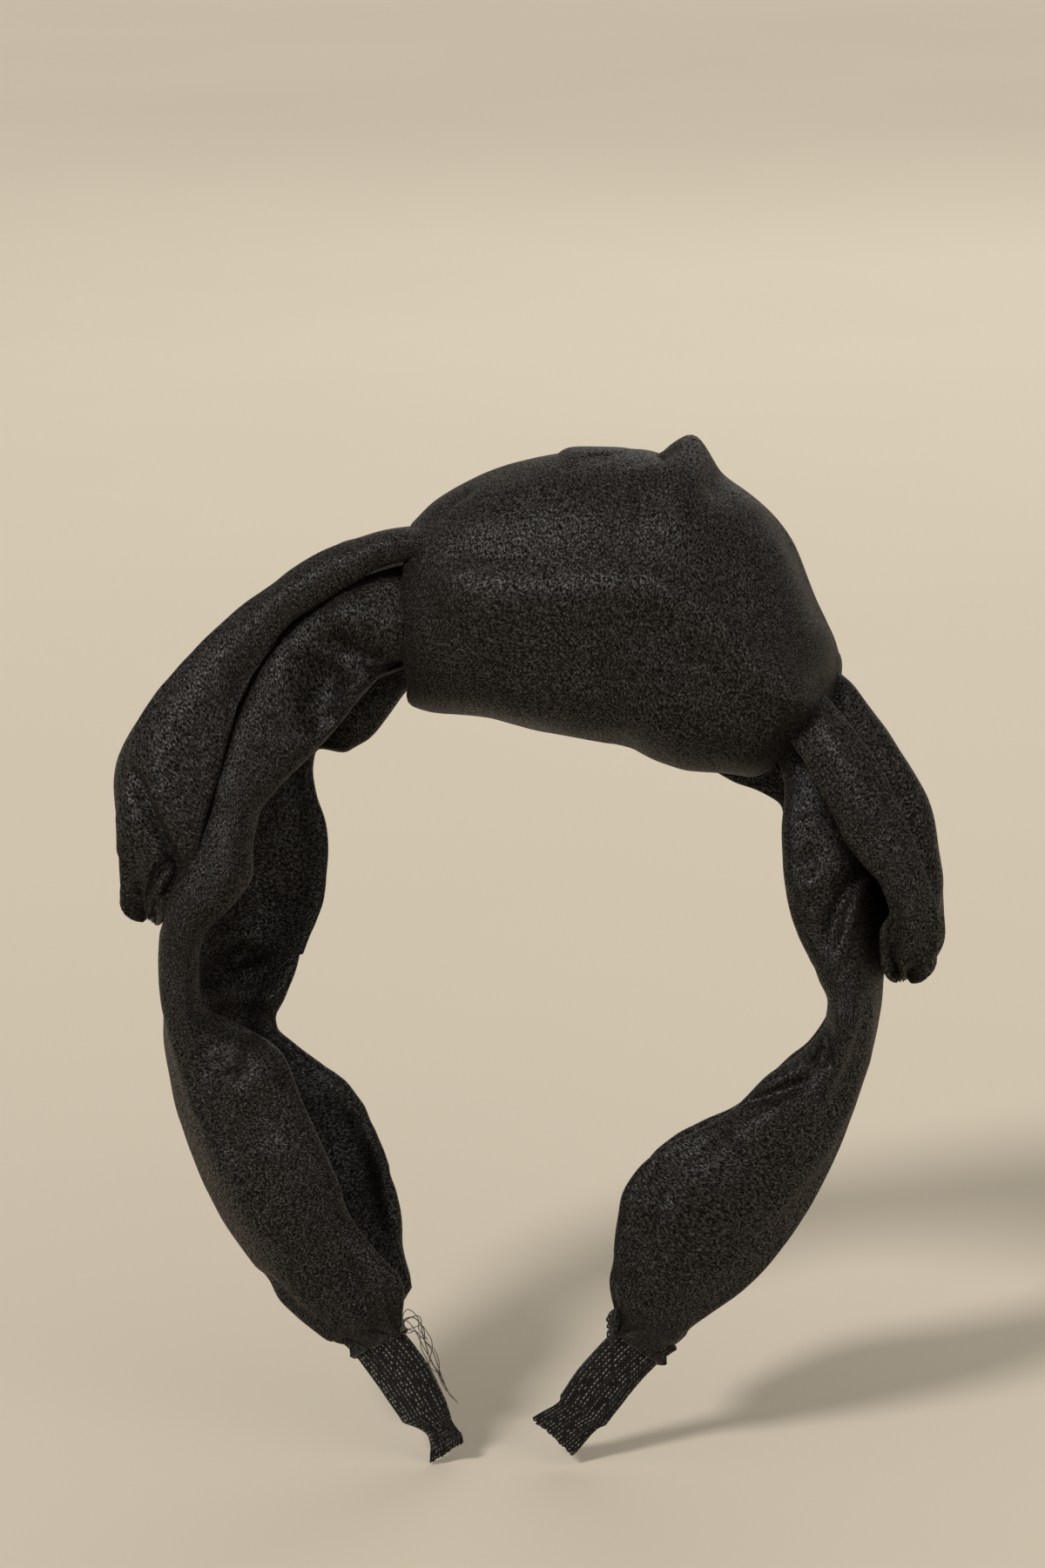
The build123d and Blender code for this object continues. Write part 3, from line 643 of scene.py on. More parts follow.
def cover(name, arm, table, mouth, seed, strokes, full=((0.0, 1.0), (0.0, 0.0)), slant=0.0, per=8, step=0.75):
    s = np.arange(table[0, 0], mouth, step)
    s = np.append(s[:-1], mouth)
    rows = curve_through(table[:, 0], table[:, 1:], s)
    ctrl = cover_loops(rows)
    # where a tail lies on it, the cloth fills the corner under the tail's edge
    f = np.interp(s, *full)[:, None]
    target = np.stack([np.stack([-rows[:, 0] + 0.2, -0.36 * rows[:, 3]], -1), np.stack([-rows[:, 0] + 0.08 * (rows[:, 1] + rows[:, 0]), -0.80 * rows[:, 3]], -1),
                       np.stack([-rows[:, 0] + 0.36 * (rows[:, 1] + rows[:, 0]), -0.98 * rows[:, 3]], -1)], axis=1)
    ctrl[:, 1:4] = ctrl[:, 1:4] * (1 - f[..., None]) + target * f[..., None]
    oval = oval_loop(12.6, 6.8, arm.twist(s))
    w = smooth(s, mouth - 5, mouth - 0.3)[:, None, None]
    ctrl = ctrl * (1 - w) + oval * w
    ry = loop_points(ctrl, per)
    grid = arm.place(s, ry)
    _, tangent, _ = arm.at(s)
    lower = slant * smooth(s, mouth - 16, mouth)[:, None] * np.clip((ry[..., 0] + 4.0) / 11.0, 0, 1.3)
    grid = grid + lower[..., None] * np.stack([tangent[:, 0], 0 * s, tangent[:, 1]], -1)[:, None, :]
    grid = relax(grid, 4)
    m = grid.shape[1]
    index = np.arange(m) / per                      # control index round the loop
    normal = grid_normals(grid)
    # loose cloth: broad swells, long soft folds, fine puckers at both gathered ends
    centre = grid.mean(axis=1, keepdims=True)
    if (normal * (grid - centre)).sum() < 0:
        normal = -normal
    free = smooth(s, table[0, 0] + 4, table[0, 0] + 22) * (1 - smooth(s, mouth - 14, mouth - 2))
    swell = 0.75 * noise(grid, 19, seed) + 0.42 * noise(grid, 9.5, seed + 1) + 0.14 * noise(grid, 4.2, seed + 2)
    on_core = np.exp(-((np.minimum(index, 18 - index)) / 1.1) ** 2)[None, :]
    push = swell * (0.35 + 0.65 * free[:, None]) * (1 - 0.85 * on_core)
    near_mouth = smooth(s, mouth - 24, mouth - 3)[:, None]
    phase = 2 * math.pi * index[None, :] / 18
    drift = 0.02 * (mouth - s)[:, None]
    gather = np.sin(phase * 10 + 1.3 * np.sin(phase * 2) + seed + 3 * drift) + 0.5 * np.sin(phase * 17 + 2.0 * seed - 4 * drift)
    push = push + 0.30 * gather * near_mouth**2 * (1 - 0.6 * on_core)
    near_root = (1 - smooth(s, table[0, 0] + 12, table[0, 0] + 38))[:, None]
    push = push + 0.2 * np.sin(phase * 6 + seed * 0.7 + 0.05 * s[:, None]) * near_root
    grid = grid + normal * push[..., None]
    for region, line, radius, depth, *rest in strokes:
        amount = stroke_depth(seen(grid), line, radius)
        a, b, c, d = REGIONS[region]
        part = smooth(index, a, b) * (1 - smooth(index, c, d))
        if region == "ridge":
            part = part + smooth(index, 17.0, 18.0)
        amount = amount * part[None, :] * depth
        direction = np.array(rest[0], float) if rest else None
        grid = grid + (normal * amount[..., None] if direction is None else direction * amount[..., None])
    grid = relax(grid, 1, 0.3)
    # lip: the mouth turns in on itself round the sleeve
    p_end = grid[-1]
    mid = p_end.mean(axis=0)
    _, t, _ = arm.at(np.array([mouth]))
    along = np.array([t[0, 0], 0, t[0, 1]])
    lips = [mid + (p_end - mid) * k + along * d for k, d in ((0.985, 0.35), (0.93, 0.5), (0.86, 0.2), (0.80, -1.2))]
    grid = np.concatenate([grid, np.array(lips)], axis=0)
    obj = outward(mesh_from_grid(name, grid))
    return obj, grid


BACK = (0, 1, 0)
FORWARD = (0, -1, 0)
LEFT_STROKES = [
    # the hollow beside the knot, under the fold that comes out of it
    ("near", [(-35.5, 22.6), (-37.0, 18.0), (-36.8, 13.0), (-34.6, 9.2)], 5.0, 4.4, BACK),
    ("near", [(-30.0, 22.0), (-33.4, 20.0), (-35.4, 15.6)], 3.4, 1.6, BACK),
    ("near", [(-18.9, 28.0), (-24.8, 28.6), (-30.2, 30.2), (-35.3, 30.5)], 3.4, 1.7, FORWARD),
    ("near", [(-18.6, 21.3), (-22.9, 21.5), (-27.9, 22.4), (-31.8, 24.0), (-35.0, 25.8)], 1.5, 3.0, BACK),
    ("near", [(-41.9, 20.2), (-40.6, 12.5), (-38.4, 6.3)], 2.4, 1.4, FORWARD),
    ("near", [(-26.4, 19.5), (-30.7, 14.3), (-35.3, 8.4)], 2.2, 1.6, FORWARD),
    # where the panel narrows and its edge waves
    ("edge", [(-44.7, -2.1), (-46.5, -5.3), (-47.1, -9.2)], 2.4, 1.2, BACK),
    ("near", [(-53.5, -9.2), (-52.4, -17.0), (-55.8, -24.0)], 2.6, 0.9, FORWARD),
    # creases that run out from the pinch across the back layer
    ("inner", [(-56.4, -35.6), (-52.4, -32.2), (-47.1, -29.7)], 1.6, -2.2),
    ("inner", [(-56.4, -37.8), (-50.4, -37.1), (-43.7, -38.1)], 2.2, 1.3),
    ("inner", [(-46.5, -10.3), (-44.6, -15.0), (-43.4, -20.7)], 4.6, 0.8),
    # the crease over the lower panel and the shadowed hollow under it
    ("near", [(-57.8, -41.4), (-53.0, -43.8), (-47.6, -46.0)], 2.0, 4.6, BACK),
    ("near", [(-55.3, -44.9), (-53.0, -47.8), (-52.6, -51.6)], 3.2, 3.8, BACK),
    ("near", [(-56.9, -41.2), (-56.7, -49.5), (-54.6, -58.8), (-50.9, -67.4)], 1.9, 1.5, BACK),
    ("near", [(-52.4, -56.0), (-46.5, -52.0), (-43.1, -50.5)], 4.0, 1.6, FORWARD),
    ("near", [(-43.7, -61.9), (-39.5, -72.8), (-36.9, -83.6)], 5.0, 1.3, FORWARD),
    ("near", [(-38.4, -60.7), (-34.1, -71.2), (-32.2, -79.8)], 1.6, 0.9, FORWARD),
    ("near", [(-31.8, -85.2), (-28.2, -92.9), (-24.8, -97.3)], 1.6, 1.9, BACK),
    ("near", [(-41.9, -80.5), (-36.9, -89.8), (-30.7, -97.6)], 1.8, 0.9, BACK),
    # the edge of the stiff strip showing through
    ("ridge", [(-64.2, -26.3), (-63.6, -35.6), (-62.0, -45.7), (-58.0, -57.8), (-52.2, -67.8), (-48.4, -75.9)], 0.9, 0.75),
    ("ridge", [(-62.6, -34.0), (-60.2, -48.0), (-55.8, -59.6), (-50.2, -68.9), (-45.6, -77.4)], 1.1, -0.8),
    # the small flap and the thin layer below the panel
    ("inner", [(-28.2, -83.6), (-24.8, -87.1), (-22.3, -91.4)], 2.8, 3.4),
    ("lower", [(-46.5, -87.1), (-40.3, -93.7), (-33.3, -98.8), (-27.1, -101.6)], 0.8, -1.3),
    ("inner", [(-31.8, -58.8), (-27.9, -68.1), (-26.0, -77.4)], 3.5, -1.6),
    ("far", [(-35.3, -50.5), (-27.1, -60.4), (-23.6, -71.2), (-22.0, -82.1)], 2.2, 0.9),
]
RIGHT_STROKES = [
    ("near", [(55.0, -14.8), (51.2, -17.6), (47.8, -20.1)], 2.3, 1.6, FORWARD),
    ("near", [(52.7, -13.1), (48.8, -15.4)], 2.4, 1.4, BACK),
    ("near", [(60.8, -15.4), (57.4, -19.5), (55.3, -25.0), (55.0, -28.4)], 1.7, 2.6, BACK),
    ("near", [(62.2, -17.0), (58.6, -21.9), (57.1, -28.1), (54.6, -34.0)], 1.6, 1.4, FORWARD),
    ("near", [(50.4, 2.1), (51.9, -6.1)], 6.0, 1.6, BACK),
    ("near", [(54.0, -42.1), (54.0, -47.1), (52.4, -50.5)], 1.9, 3.4, BACK),
    ("near", [(56.1, -39.9), (56.4, -44.9), (55.5, -49.8)], 1.3, 1.2, FORWARD),
    ("near", [(51.2, -52.8), (45.7, -55.0), (39.2, -57.6)], 1.3, 2.6, BACK),
    ("near", [(47.3, -58.2), (42.2, -60.4), (36.6, -63.8)], 3.4, 1.4, FORWARD),
    ("near", [(36.9, -61.3), (27.1, -67.8), (22.8, -73.4), (20.9, -82.4)], 2.6, 1.7, BACK),
    ("near", [(23.9, -74.0), (25.1, -79.9)], 2.8, 1.6, FORWARD),
    ("near", [(19.8, -87.1), (18.9, -92.9)], 1.6, 1.2, BACK),
    ("near", [(29.5, -80.5), (26.4, -89.8), (22.5, -97.6)], 2.4, 0.8, BACK),
    ("near", [(35.7, -69.7), (40.3, -74.3)], 5.0, 1.0, FORWARD),
    ("ridge", [(62.5, -38.7), (60.9, -49.2), (57.8, -57.4), (54.0, -65.0), (49.0, -71.2), (43.4, -78.2)], 0.9, 0.7),
    ("ridge", [(60.8, -38.7), (59.1, -48.8), (55.8, -56.0), (51.8, -63.2), (46.5, -69.4)], 1.1, -0.7),
    ("all", [(27.3, -99.3), (28.2, -99.9)], 1.7, 2.4, (0.83, -0.1, -0.55)),
]
cover_left, LEFT_GRID = cover("cover_left_cloth", LEFT, LEFT_COVER, LEFT_MOUTH_S, 3, LEFT_STROKES, ((4.0, 16.0, 50.0, 68.0), (0.0, 1.0, 1.0, 0.0)), 4.8)
cover_right, RIGHT_GRID = cover("cover_right_cloth", RIGHT, RIGHT_COVER, RIGHT_MOUTH_S, 8, RIGHT_STROKES, ((34.0, 50.0, 80.0, 96.0), (0.0, 0.6, 0.6, 0.0)), 2.6)
for obj, node in ((cover_left, "cover_left"), (cover_right, "cover_right")):
    dress(obj, COVER_LOOK)
    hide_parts(node)

# =============================================================== tails
# s, r of the near edge, r of the front face's outer edge, r of the outermost line, r of the back edge, y near, y back, groove
LEFT_TAIL = np.array([
    (2.0, -9.0, -13.5, -14.5, -9.0, -16.8, 8.0, 0.0),
    (10.0, -12.4, -17.4, -18.4, -12.0, -16.8, 11.0, 0.0),
    (14.0, -13.2, -18.5, -19.5, -12.5, -16.8, 11.5, 0.0),
    (18.0, -13.2, -19.1, -20.1, -12.6, -16.8, 12.0, 0.0),
    (26.0, -12.0, -19.4, -20.4, -12.0, -16.8, 13.0, 0.0),
    (34.0, -11.0, -18.8, -19.8, -10.5, -16.8, 13.6, 0.0),
    (42.0, -7.6, -18.3, -19.4, -8.0, -16.8, 14.0, 0.0),
    (50.0, -4.2, -17.7, -19.4, -6.5, -17.6, 14.2, 0.0),
    (60.0, 0.0, -17.5, -19.9, -4.6, -18.8, 14.4, 0.0),
    (65.0, 1.4, -15.4, -19.3, -4.0, -19.3, 14.2, 0.0),
    (70.0, 2.5, -13.6, -17.6, -3.6, -19.2, 13.6, 0.0),
    (75.0, 3.2, -11.4, -14.3, -3.4, -18.4, 12.6, 0.0),
    (79.0, 3.0, -9.8, -12.4, -3.3, -17.0, 10.8, 0.0),
    (82.4, 1.6, -8.8, -11.3, -3.2, -14.8, 9.0, 0.0),
    (85.6, -1.0, -8.0, -9.6, -3.4, -11.6, 6.4, 0.0),
])
RIGHT_TAIL = np.array([
    (36.0, -5.0, -10.0, -12.8, -8.0, -8.0, 8.0, 0.3),
    (44.0, -4.5, -11.6, -14.4, -8.0, -10.0, 9.5, 0.8),
    (50.0, -3.2, -12.2, -15.5, -7.6, -13.0, 10.5, 1.7),
    (54.0, -2.4, -12.4, -16.2, -7.2, -15.6, 11.2, 1.7),
    (58.0, -2.1, -12.6, -16.0, -6.8, -17.2, 11.8, 1.7),
    (66.0, -1.8, -12.7, -16.0, -5.6, -18.6, 12.4, 1.7),
    (72.0, -1.7, -12.8, -16.2, -4.8, -19.0, 12.6, 1.7),
    (78.0, -3.2, -13.2, -15.5, -4.4, -19.0, 12.6, 1.7),
    (82.0, -5.0, -13.3, -15.2, -4.2, -18.6, 12.2, 1.5),
    (86.0, -5.3, -13.4, -14.4, -4.0, -18.0, 11.4, 1.2),
    (89.4, -3.5, -13.0, -13.3, -3.9, -17.0, 10.4, 0.8),
    (92.4, -3.3, -12.0, -12.2, -3.8, -15.4, 9.2, 0.5),
    (94.6, -3.4, -10.2, -10.4, -3.8, -13.4, 8.0, 0.3),
])


def tail(name, arm, table, seed, strokes, end_shift, per=9):
    s = np.arange(table[0, 0], table[-1, 0] + 0.01, 0.6)
    near, face, top, far, yn, yf, groove = curve_through(table[:, 0], table[:, 1:], s).T
    lift = 2.0
    wide = near - face
    back_y = yn + 0.36 * (yf - yn)
    pts = [
        (near, yn + 0.4), (near - 0.30 * wide, yn - 1.2), (near - 0.66 * wide, yn - 0.9), (face, yn + 2.4),
        (face + 0.3 + 1.9 * groove, yn + 5.2 + 0.8 * groove),
        (top + 0.6 - 0.4 * groove, back_y), (top, 0.5 * (back_y + yf) - 1.0), (top + 0.25 * (far - top), 0.86 * yf),
        (far - 0.25 * (far - top), 1.02 * yf), (far, yf),
        (far - 0.2 - 0.12 * (far - top), yf - lift), (far - 1.2 - 0.1 * (far - top), 0.45 * yf), (0.5 * (near + far) - 2.4, 0.5 * (yn + yf)),
        (near - 1.6 - 0.1 * wide, 0.5 * yn), (near - 0.5 - 0.12 * wide, yn + lift + 0.6),
    ]
    ctrl = np.stack([np.stack(p, axis=-1) for p in pts], axis=1)
    count = ctrl.shape[1]
    ry = loop_points(ctrl, per)
    grid = arm.place(s, ry)
    grid = relax(grid, 3)
    m = grid.shape[1]
    index = np.arange(m) / per
    normal = grid_normals(grid)
    if (normal * (grid - grid.mean(axis=1, keepdims=True))).sum() < 0:
        normal = -normal
    top_side = (1 - smooth(index, 9.0, 10.0)) * smooth(index, -0.4, 0.3) + smooth(index, count - 0.8, count)
    swell = 0.55 * noise(grid, 17, seed) + 0.30 * noise(grid, 8, seed + 1) + 0.12 * noise(grid, 3.8, seed + 2)
    push = swell * top_side[None, :]
    # pleats at the tacked end
    end = smooth(s, table[-1, 0] - 13, table[-1, 0] - 1)[:, None]
    pleat = np.sin(index[None, :] * (2 * math.pi / 1.55) + seed) + 0.35 * np.sin(index[None, :] * 6.1 + seed)
    push = push + 1.05 * pleat * end**1.4 * top_side[None, :]
    root = (1 - smooth(s, table[0, 0] + 12, table[0, 0] + 34))[:, None]
    push = push + 0.15 * np.sin(index[None, :] * 2.6 + seed) * root * top_side[None, :]
    grid = grid + normal * push[..., None]
    for line, radius, depth, *rest in strokes:
        part = (1 - smooth(index, 6.2, 7.2)) + smooth(index, count - 0.6, count)
        amount = stroke_depth(seen(grid), line, radius) * part[None, :] * depth
        direction = np.array(rest[0], float) if rest else None
        grid = grid + (normal * amount[..., None] if direction is None else direction * amount[..., None])
    grid = relax(grid, 1, 0.3)
    # rounded closed end
    last = grid[-1]
    centre = last.mean(axis=0)
    _, t, n = arm.at(np.array([s[-1]]))
    along = np.array([t[0, 0], 0, t[0, 1]])
    inward = np.array([n[0, 0], 0, n[0, 1]])
    rings = []
    lobes = 1 + 0.28 * np.sin(index * (2 * math.pi / 1.55) + seed)
    for a in (15, 30, 45, 60, 73, 84):
        a = math.radians(a)
        ring = centre + (last - centre) * (0.2 + 0.8 * math.cos(a))
        rings.append(ring + along * (end_shift * math.sin(a) * lobes)[:, None] + inward * 1.0 * (1 - math.cos(a)))
    grid = np.concatenate([grid, np.array(rings)], axis=0)
    return outward(mesh_from_grid(name, grid)), grid


LT_STROKES = [
    ([(-69.9, 2.6), (-67.9, -2.2), (-65.7, -6.7), (-62.0, -13.9), (-59.8, -17.0)], 1.3, -3.1),
    ([(-69.8, -5.3), (-70.4, -13.1)], 2.6, 1.0),
    ([(-63.3, -14.5), (-65.7, -17.0), (-67.0, -20.7), (-66.4, -23.2)], 1.2, -2.6),
    ([(-64.2, -18.2), (-63.9, -21.9)], 1.8, 1.3),
    ([(-69.8, -18.2), (-69.5, -22.2)], 1.8, 1.0),
    ([(-65.1, 0.1), (-61.2, -7.7), (-59.2, -13.9)], 3.4, 0.9),
    ([(-47.8, 21.8), (-50.2, 16.8), (-52.4, 12.5)], 2.6, -1.2),
    ([(-41.9, 32.6), (-27.9, 40.4)], 5.0, 0.6),
]
RT_STROKES = [
    ([(54.0, 11.6), (58.6, 0.1), (63.6, -9.2)], 3.0, 0.8),
    ([(65.4, -21.6), (67.3, -27.1), (67.6, -32.5)], 1.7, -0.9),
    ([(70.1, -24.7), (71.3, -31.7)], 2.4, 0.9),
]
tail_left, LT_GRID = tail("tail_left_cloth", LEFT, LEFT_TAIL, 21, LT_STROKES, 3.6)
tail_right, RT_GRID = tail("tail_right_cloth", RIGHT, RIGHT_TAIL, 27, RT_STROKES, 3.8)
for obj, node in ((tail_left, "tail_left"), (tail_right, "tail_right")):
    dress(obj, KNOT_LOOK)
    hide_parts(node)

# =============================================================== knot
# x, bottom z, top z, half depth to the front, half depth to the back
KNOT_ROWS = np.array([
    (-20.0, -9.9, 26.2, 19.0, 18.0), (-16.5, -11.5, 28.2, 22.0, 21.0), (-12.0, -12.8, 30.2, 24.4, 23.5), (-5.0, -14.8, 32.8, 26.4, 26.0),
    (3.0, -17.0, 34.6, 27.6, 27.2), (12.0, -18.6, 35.6, 28.0, 27.4), (20.0, -20.1, 35.4, 28.0, 27.4), (26.0, -22.8, 35.3, 27.6, 27.2),
    (31.0, -24.4, 35.2, 27.0, 26.6), (36.5, -24.6, 31.4, 26.0, 25.6), (41.0, -24.6, 28.2, 24.8, 24.4), (45.0, -22.6, 24.4, 23.4, 23.2),
    (48.2, -19.6, 20.0, 22.0, 21.8), (50.8, -16.6, 13.8, 20.2, 19.8), (52.8, -13.8, 9.0, 18.0, 17.0), (54.6, -10.6, 5.4, 14.6, 13.4),
    (55.9, -7.4, 2.4, 10.0, 8.8), (56.5, -5.0, 0.2, 5.0, 4.4),
])
# how far the open end on the left leans: z, x past the first station
KNOT_LEAN = ([-12.0, -9.0, -4.5, 3.0, 10.0, 14.5, 19.0, 23.0, 27.0, 31.0], [1.0, 1.4, 3.4, 3.6, 4.4, 5.6, 7.6, 10.4, 14.2, 19.0])


def knot_body(name, rows, xs, lean, seed, strokes, inset=0.0, close=True):
    low, high, front, back = curve_through(rows[:, 0], rows[:, 1:], xs).T
    m = 200
    a = 2 * math.pi * np.arange(m) / m
    c, sn = np.cos(a), np.sin(a)
    p = 0.84
    cc, ss = np.sign(c) * np.abs(c) ** p, np.sign(sn) * np.abs(sn) ** p
    mid, tall = (low + high) / 2, (high - low) / 2
    y = np.where(c[None, :] > 0, back[:, None], front[:, None]) * cc[None, :]
    z = mid[:, None] + tall[:, None] * ss[None, :]
    # over the head the underside is drawn up
    hollow = 4.0 * np.clip(-sn - 0.55, 0, 1)[None, :] * 2 * smooth(1 - np.abs((xs - 16) / 40), 0, 0.5)[:, None]
    z = z + hollow
    x = np.repeat(xs[:, None], m, axis=1)
    x = x + np.interp(z, *lean) * (1 - smooth(xs, xs[0], xs[0] + 34))[:, None]
    grid = np.stack([x, y, z], axis=-1)
    # pinched point on the top edge
    bump = np.exp(-((grid[..., 0] - 31.2) / 3.4) ** 2 - ((grid[..., 1] + 4.0) / 6.5) ** 2) * np.clip(ss[None, :], 0, 1) ** 2
    grid[..., 2] += 3.0 * bump
    normal = grid_normals(grid)
    if (normal * (grid - grid.mean(axis=1, keepdims=True))).sum() < 0:
        normal = -normal
    swell = 0.6 * noise(grid, 26, seed) + 0.32 * noise(grid, 11, seed + 1) + 0.10 * noise(grid, 4.5, seed + 2)
    grid = grid + normal * (swell[..., None] * (0.3 + 0.7 * smooth(xs, -20, -8))[:, None, None] - inset)
    for side, line, radius, depth in strokes:
        facing = np.clip(-c, 0, 1)[None, :] ** 0.4 if side == "front" else np.clip(ss + 0.2, 0, 1)[None, :]
        grid = grid + normal * (stroke_depth(seen(grid), line, radius) * facing * depth)[..., None]
    first = grid[0]
    mid0 = first.mean(axis=0)
    lips = []
    for k, d in ((0.975, -0.55), (0.93, -0.85), (0.87, -0.6), (0.80, 0.6), (0.75, 3.0), (0.71, 7.0)):
        ring = mid0 + (first - mid0) * k
        ring[:, 0] = first[:, 0] + d
        lips.append(ring)
    grid = np.concatenate([np.array(lips[::-1]), grid], axis=0)
    grid = relax(grid, 2, 0.4)
    if close:
        last = grid[-1]
        mid1 = last.mean(axis=0)
        rings = [mid1 + (last - mid1) * k + np.array([d, 0, 0]) for k, d in ((0.8, 0.3), (0.55, 0.5), (0.28, 0.6))]
        grid = np.concatenate([grid, np.array(rings)], axis=0)
    return outward(mesh_from_grid(name, grid)), grid


KNOT_STROKES = [
    # soft ridges that catch the light, and the shallow hollows beside them
    ("front", [(-17.1, 37.6), (-6.2, 33.8), (6.2, 33.4), (21.7, 35.4)], 5.2, 1.9),
    ("front", [(19.7, 36.0), (31.0, 30.9), (38.8, 23.1), (50.4, 12.3)], 4.4, 3.6),
    ("front", [(30.2, 60.9), (28.7, 52.8), (27.1, 43.5)], 5.0, 1.4),
    ("front", [(37.8, 47.6), (41.9, 40.4), (47.3, 30.1)], 7.5, -1.3),
    ("front", [(-12.2, 20.8), (4.3, 19.5), (20.8, 14.6)], 9.0, -1.8),
    ("front", [(-8.2, 47.1), (4.2, 45.0), (17.1, 46.6)], 6.5, -1.9),
    ("front", [(33.3, 55.1), (35.3, 51.2)], 2.2, -1.2),
    # fold line behind the top edge
    ("top", [(11.8, 57.4), (15.5, 57.3), (22.5, 58.4), (26.7, 59.3)], 0.7, -2.2),
    ("top", [(6.2, 58.7), (14.0, 59.0), (20.9, 59.5)], 1.6, 0.8),
    # scalloped right edge
    ("front", [(38.4, 54.7), (40.6, 52.8)], 1.6, 0.5),
    ("front", [(46.5, 46.6), (48.4, 42.7)], 1.6, -0.7),
    ("front", [(52.1, 32.6), (53.6, 29.2)], 1.8, -0.7),
    ("front", [(54.0, 20.2), (50.4, 13.3), (46.5, 7.8)], 1.6, -0.5),
    # folds along the underside
    ("front", [(-6.2, 10.2), (6.2, 9.1)], 1.8, -0.6),
    ("front", [(15.5, 7.8), (20.9, 6.0)], 2.0, -0.6),
]
KNOT_X = np.concatenate([np.arange(-20.0, 50.0, 0.7), np.linspace(50.2, 56.5, 18)])
knot_wrap, KNOT_GRID = knot_body("knot_wrap_cloth", KNOT_ROWS, KNOT_X, KNOT_LEAN, 31, KNOT_STROKES)
# the turn of cloth that lies behind the front one at its upper left
BEHIND_ROWS = np.array([
    (-20.0, -8.6, 24.0, 17.6, 20.0), (-17.0, -9.8, 27.0, 20.8, 22.0), (-12.0, -11.0, 30.0, 23.6, 24.5), (-6.0, -12.0, 32.4, 25.2, 26.4),
    (0.0, -13.0, 34.2, 26.0, 27.4), (8.0, -14.0, 36.0, 26.8, 27.9), (15.0, -13.8, 37.0, 27.0, 28.0), (22.0, -15.0, 36.6, 26.6, 27.6),
    (27.0, -16.0, 34.6, 25.6, 26.4), (31.0, -16.4, 31.6, 24.0, 24.6),
])
BEHIND_STROKES = [
    ("top", [(-16.0, 46.6), (-12.4, 50.5), (-8.1, 53.3)], 0.9, -1.1),
    ("top", [(-14.7, 47.2), (-10.9, 51.2), (-6.8, 53.4)], 0.9, 0.5),
]
behind, BEHIND_GRID = knot_body("knot_wrap_behind", BEHIND_ROWS, np.arange(-20.0, 31.1, 0.8), ([-12.0, 30.0], [1.8, 2.2]), 41, BEHIND_STROKES)
for obj in (knot_wrap, behind):
    dress(obj, KNOT_LOOK)
    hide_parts("knot_wrap")


